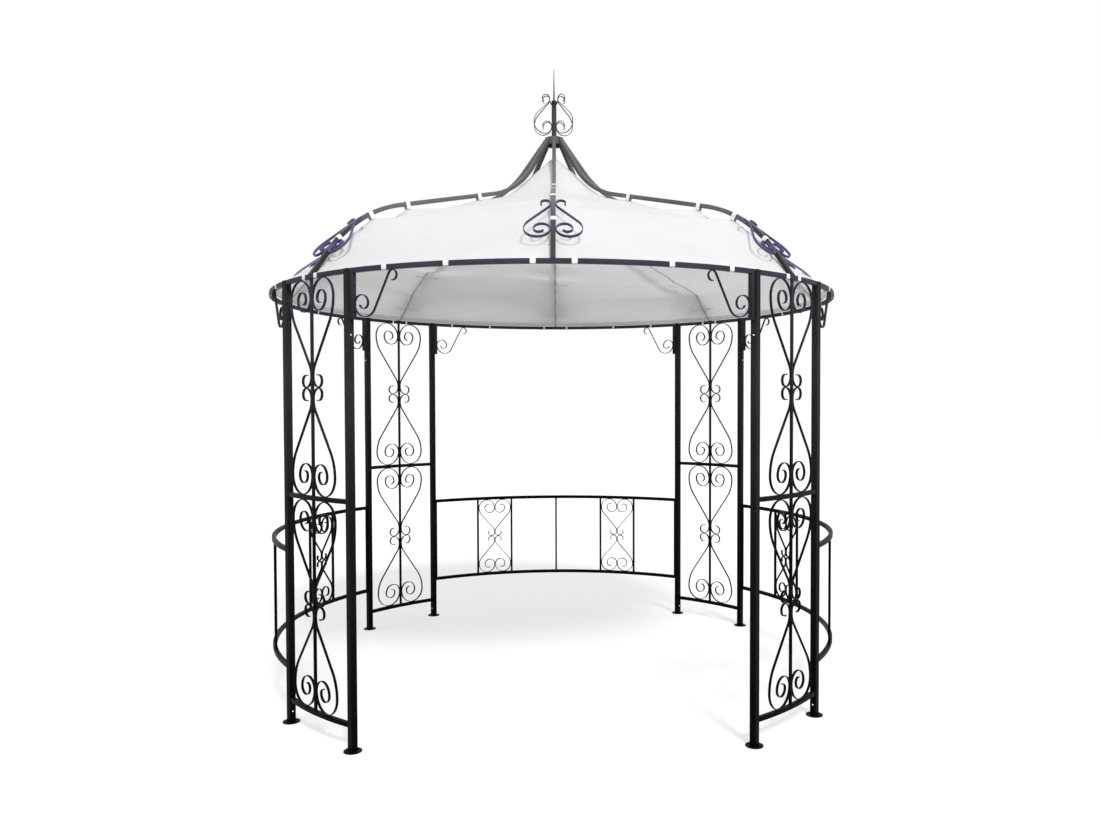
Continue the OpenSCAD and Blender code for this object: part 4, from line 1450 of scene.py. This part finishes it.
# %% Zinc and a dome head
ZINC_BRIGHT, ZINC_DULL, ZINC_ROUGH = (0.86, 0.86, 0.88), 0.8, (0.22, 0.37)
zinc, tree, surface = new_material("zinc")
spots = noise(tree, add(tree, "ShaderNodeTexCoord").outputs["Object"], 260.0, 3.0)
dull = tuple(c * ZINC_DULL for c in ZINC_BRIGHT)
colour = blend_colours(tree, vary(tree, spots, 0, 1), ZINC_BRIGHT, dull)
bump = add(tree, "ShaderNodeBump", Height=spots, Strength=0.2, Distance=0.0002).outputs["Normal"]
fill(tree, surface, Base_Color=colour, Roughness=vary(tree, spots, *ZINC_ROUGH), Metallic=1.0, Normal=bump)


RIM_SUNK = 0.0006  # the head's rim goes this far into the face


def dome(radius, height, rings=6, around=16):
    """A dome head: at the angle t its radius is r * cos t and its height h * sin t, turned round the axis."""
    t = np.radians(np.linspace(0, 86, rings))
    a = np.linspace(0, 2 * math.pi, around, endpoint=False)
    r = np.concatenate([[radius], radius * np.cos(t)])[:, None]
    z = np.concatenate([[-RIM_SUNK], height * np.sin(t)])[:, None]
    return np.stack([r * np.cos(a), r * np.sin(a), np.broadcast_to(z, (len(z), around))], -1)


# %% [markdown]
# Each post has one bolt near its foot, on the side towards the column's middle,
# and one near its top, on the side towards the opening. The headers' legs have
# two each.

# %% Set the bolts
POST_Y = math.sqrt(PLAN_R**2 - HALF_PANEL**2)
FOOT_BOLT_Z, TOP_BOLT_Z, LEG_BOLTS_Z = 0.052, 1.745, (1.845, 1.955)
POST_HEAD, LEG_HEAD = (0.0042, 0.0026), (0.0060, 0.0034)
bolt_places = []
for bearing in COLUMN_BEARINGS:
    for side in (-1, 1):
        for out, z in ((-1, FOOT_BOLT_Z), (1, TOP_BOLT_Z)):
            face = move(side * (HALF_PANEL + out * HALF_POST), -POST_Y, z)
            bolt_places.append(turn_z(bearing) @ face @ turn_z(90 * side * out) @ STAND)
bolts = bars("post_bolts", [placed(dome(*POST_HEAD), bolt_places)], zinc)

leg_places = []
for bearing in SIDE_BEARINGS.values():
    for side in (-1, 1):
        for z in LEG_BOLTS_Z:
            face = move(-side * (LEG_X + BAR / 2), -LEG_Y, z)
            leg_places.append(turn_z(bearing) @ turn_z(side * 45) @ face @ turn_z(-90 * side) @ STAND)
leg_bolts = bars("header_bolts", [placed(dome(*LEG_HEAD), leg_places)], bar_coat)
print("bolts:", len(bolt_places) + len(leg_places))

# %% [markdown]
# ## Welds
#
# A weld bead fills the corner where a scroll touches its neighbour. It is a
# small flattened ellipsoid. One kind lies along a level bar and the other along
# an upright, and they are set in the scroll's own plane, so that they go
# through the same places as the scroll does.

# %% Weld beads
def bead(long, across, wide, rings=7, around=10):
    """An ellipsoid: at latitude t and bearing a, (long cos t cos a, across sin t, wide cos t sin a)."""
    t = np.radians(np.linspace(-88, 88, rings))[:, None]
    a = np.linspace(0, 2 * math.pi, around, endpoint=False)
    thin = np.broadcast_to(across * np.sin(t), (rings, around))
    return np.stack([long * np.cos(t) * np.cos(a), thin, wide * np.cos(t) * np.sin(a)], -1)


BEAD_LONG, BEAD_THIN, BEAD_WIDE = 0.0085, 0.0016, 0.0050
level_bead, upright_bead = bead(BEAD_LONG, BEAD_THIN, BEAD_WIDE), bead(BEAD_THIN, BEAD_LONG, BEAD_WIDE)
weld_grids = []


def weld(grid, places, spots):
    """A bead at each spot (x, y) of a scroll's plane, in all its places."""
    for x, y in spots:
        weld_grids.append(placed(grid, [place @ move(x, y, 0) for place in places]))


# %% [markdown]
# A half heart is welded at the foot of its lobe, at the side of its lobe, at
# its neck and at the top of its hook.

# %% Set the welds
LEVEL_Y = 0.0001  # height of a level bead over the bar's face
BELOW_ROOT = 0.012  # the neck's weld below the hook
for (low, high), places in zip(spaces, column_places):
    heart, half = COLUMN_HEART, (high - low) / 2
    every = [turn_z(bearing) @ place for bearing in COLUMN_BEARINGS for place in places]
    weld(level_bead, every, [(HALF_T + heart.lobe, LEVEL_Y), (HALF_T + heart.root, half)])
    neck_y = half - HALF_T - heart.root - BELOW_ROOT
    weld(upright_bead, every, [(0.0, HALF_T + GAP + heart.lobe), (0.0, neck_y)])
heart = RAIL_HEART
every = [turn_z(SIDE_BEARINGS[side]) @ place for side in RAIL_SIDES for place in rail_places]
weld(level_bead, every, [(HALF_T + heart.lobe, LEVEL_Y), (HALF_T + heart.root, rail_half)])
far_side = 2 * heart.lobe + 2 * HALF_T + GAP
weld(upright_bead, every, [(0.0, HALF_T + heart.lobe), (far_side, HALF_T + heart.lobe)])
weld(level_bead, corner_places, [(CORNER.reach - HALF_T - CORNER.hook, -GAP / 2)])
weld(upright_bead, corner_places, [(0.0, -CORNER.drop + HALF_T + CORNER.lobe)])
weld(upright_bead, crest_places, [(0.0, HALF_T + CREST.lobe), (0.0, CREST_LONG - CREST.root - CREST.land)])
welds = bars("weld_beads", weld_grids, scroll_coat)
print("weld beads:", sum(len(g) for g in weld_grids))

# %% [markdown]
# ## The floor
#
# The floor is a wide pale sheet. It gives back most of the light that falls on
# it, which is what lights the canopy from below.

# %% Lay the floor
FLOOR_HALF, FLOOR_Z = 30.0, -0.0005
PAPER_GREY, PAPER_GLOW = 0.40, 0.58
floor_mesh = bpy.data.meshes.new("floor")
corners = [(x * FLOOR_HALF, y * FLOOR_HALF, 0) for x, y in ((-1, -1), (1, -1), (1, 1), (-1, 1))]
floor_mesh.from_pydata(corners, [], [(0, 1, 2, 3)])
floor = bpy.data.objects.new("floor", floor_mesh)
bpy.context.scene.collection.objects.link(floor)
floor.location.z = FLOOR_Z
paper, tree, surface = new_material("floor_paper")
fill(tree, surface, Base_Color=(PAPER_GREY, PAPER_GREY, PAPER_GREY, 1), Roughness=0.9, Specular_IOR_Level=0.0)
strength = arithmetic(tree, "MULTIPLY", looked_at(tree), PAPER_GLOW)
glow = add(tree, "ShaderNodeEmission", Color=(1, 1, 1, 1), Strength=strength)
total = add(tree, "ShaderNodeAddShader", surface.outputs[0], glow.outputs[0])
fill(tree, tree.nodes["Material Output"], Surface=total.outputs[0])
floor.data.materials.append(paper)
floor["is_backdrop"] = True
print("floor:", 2 * FLOOR_HALF, "m wide")

# %% [markdown]
# ## Triangles
#
# At the end the triangles of every shown piece are counted, with its modifiers
# applied. The cloth may stand a little proud of the imported model, and nothing
# else may.

# %% Count the triangles
bpy.context.view_layer.update()
triangles = 0
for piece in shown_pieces():
    evaluated = piece.evaluated_get(bpy.context.evaluated_depsgraph_get())
    mesh = evaluated.to_mesh()
    mesh.calc_loop_triangles()
    triangles += len(mesh.loop_triangles)
    evaluated.to_mesh_clear()
print("triangles in all:", triangles)
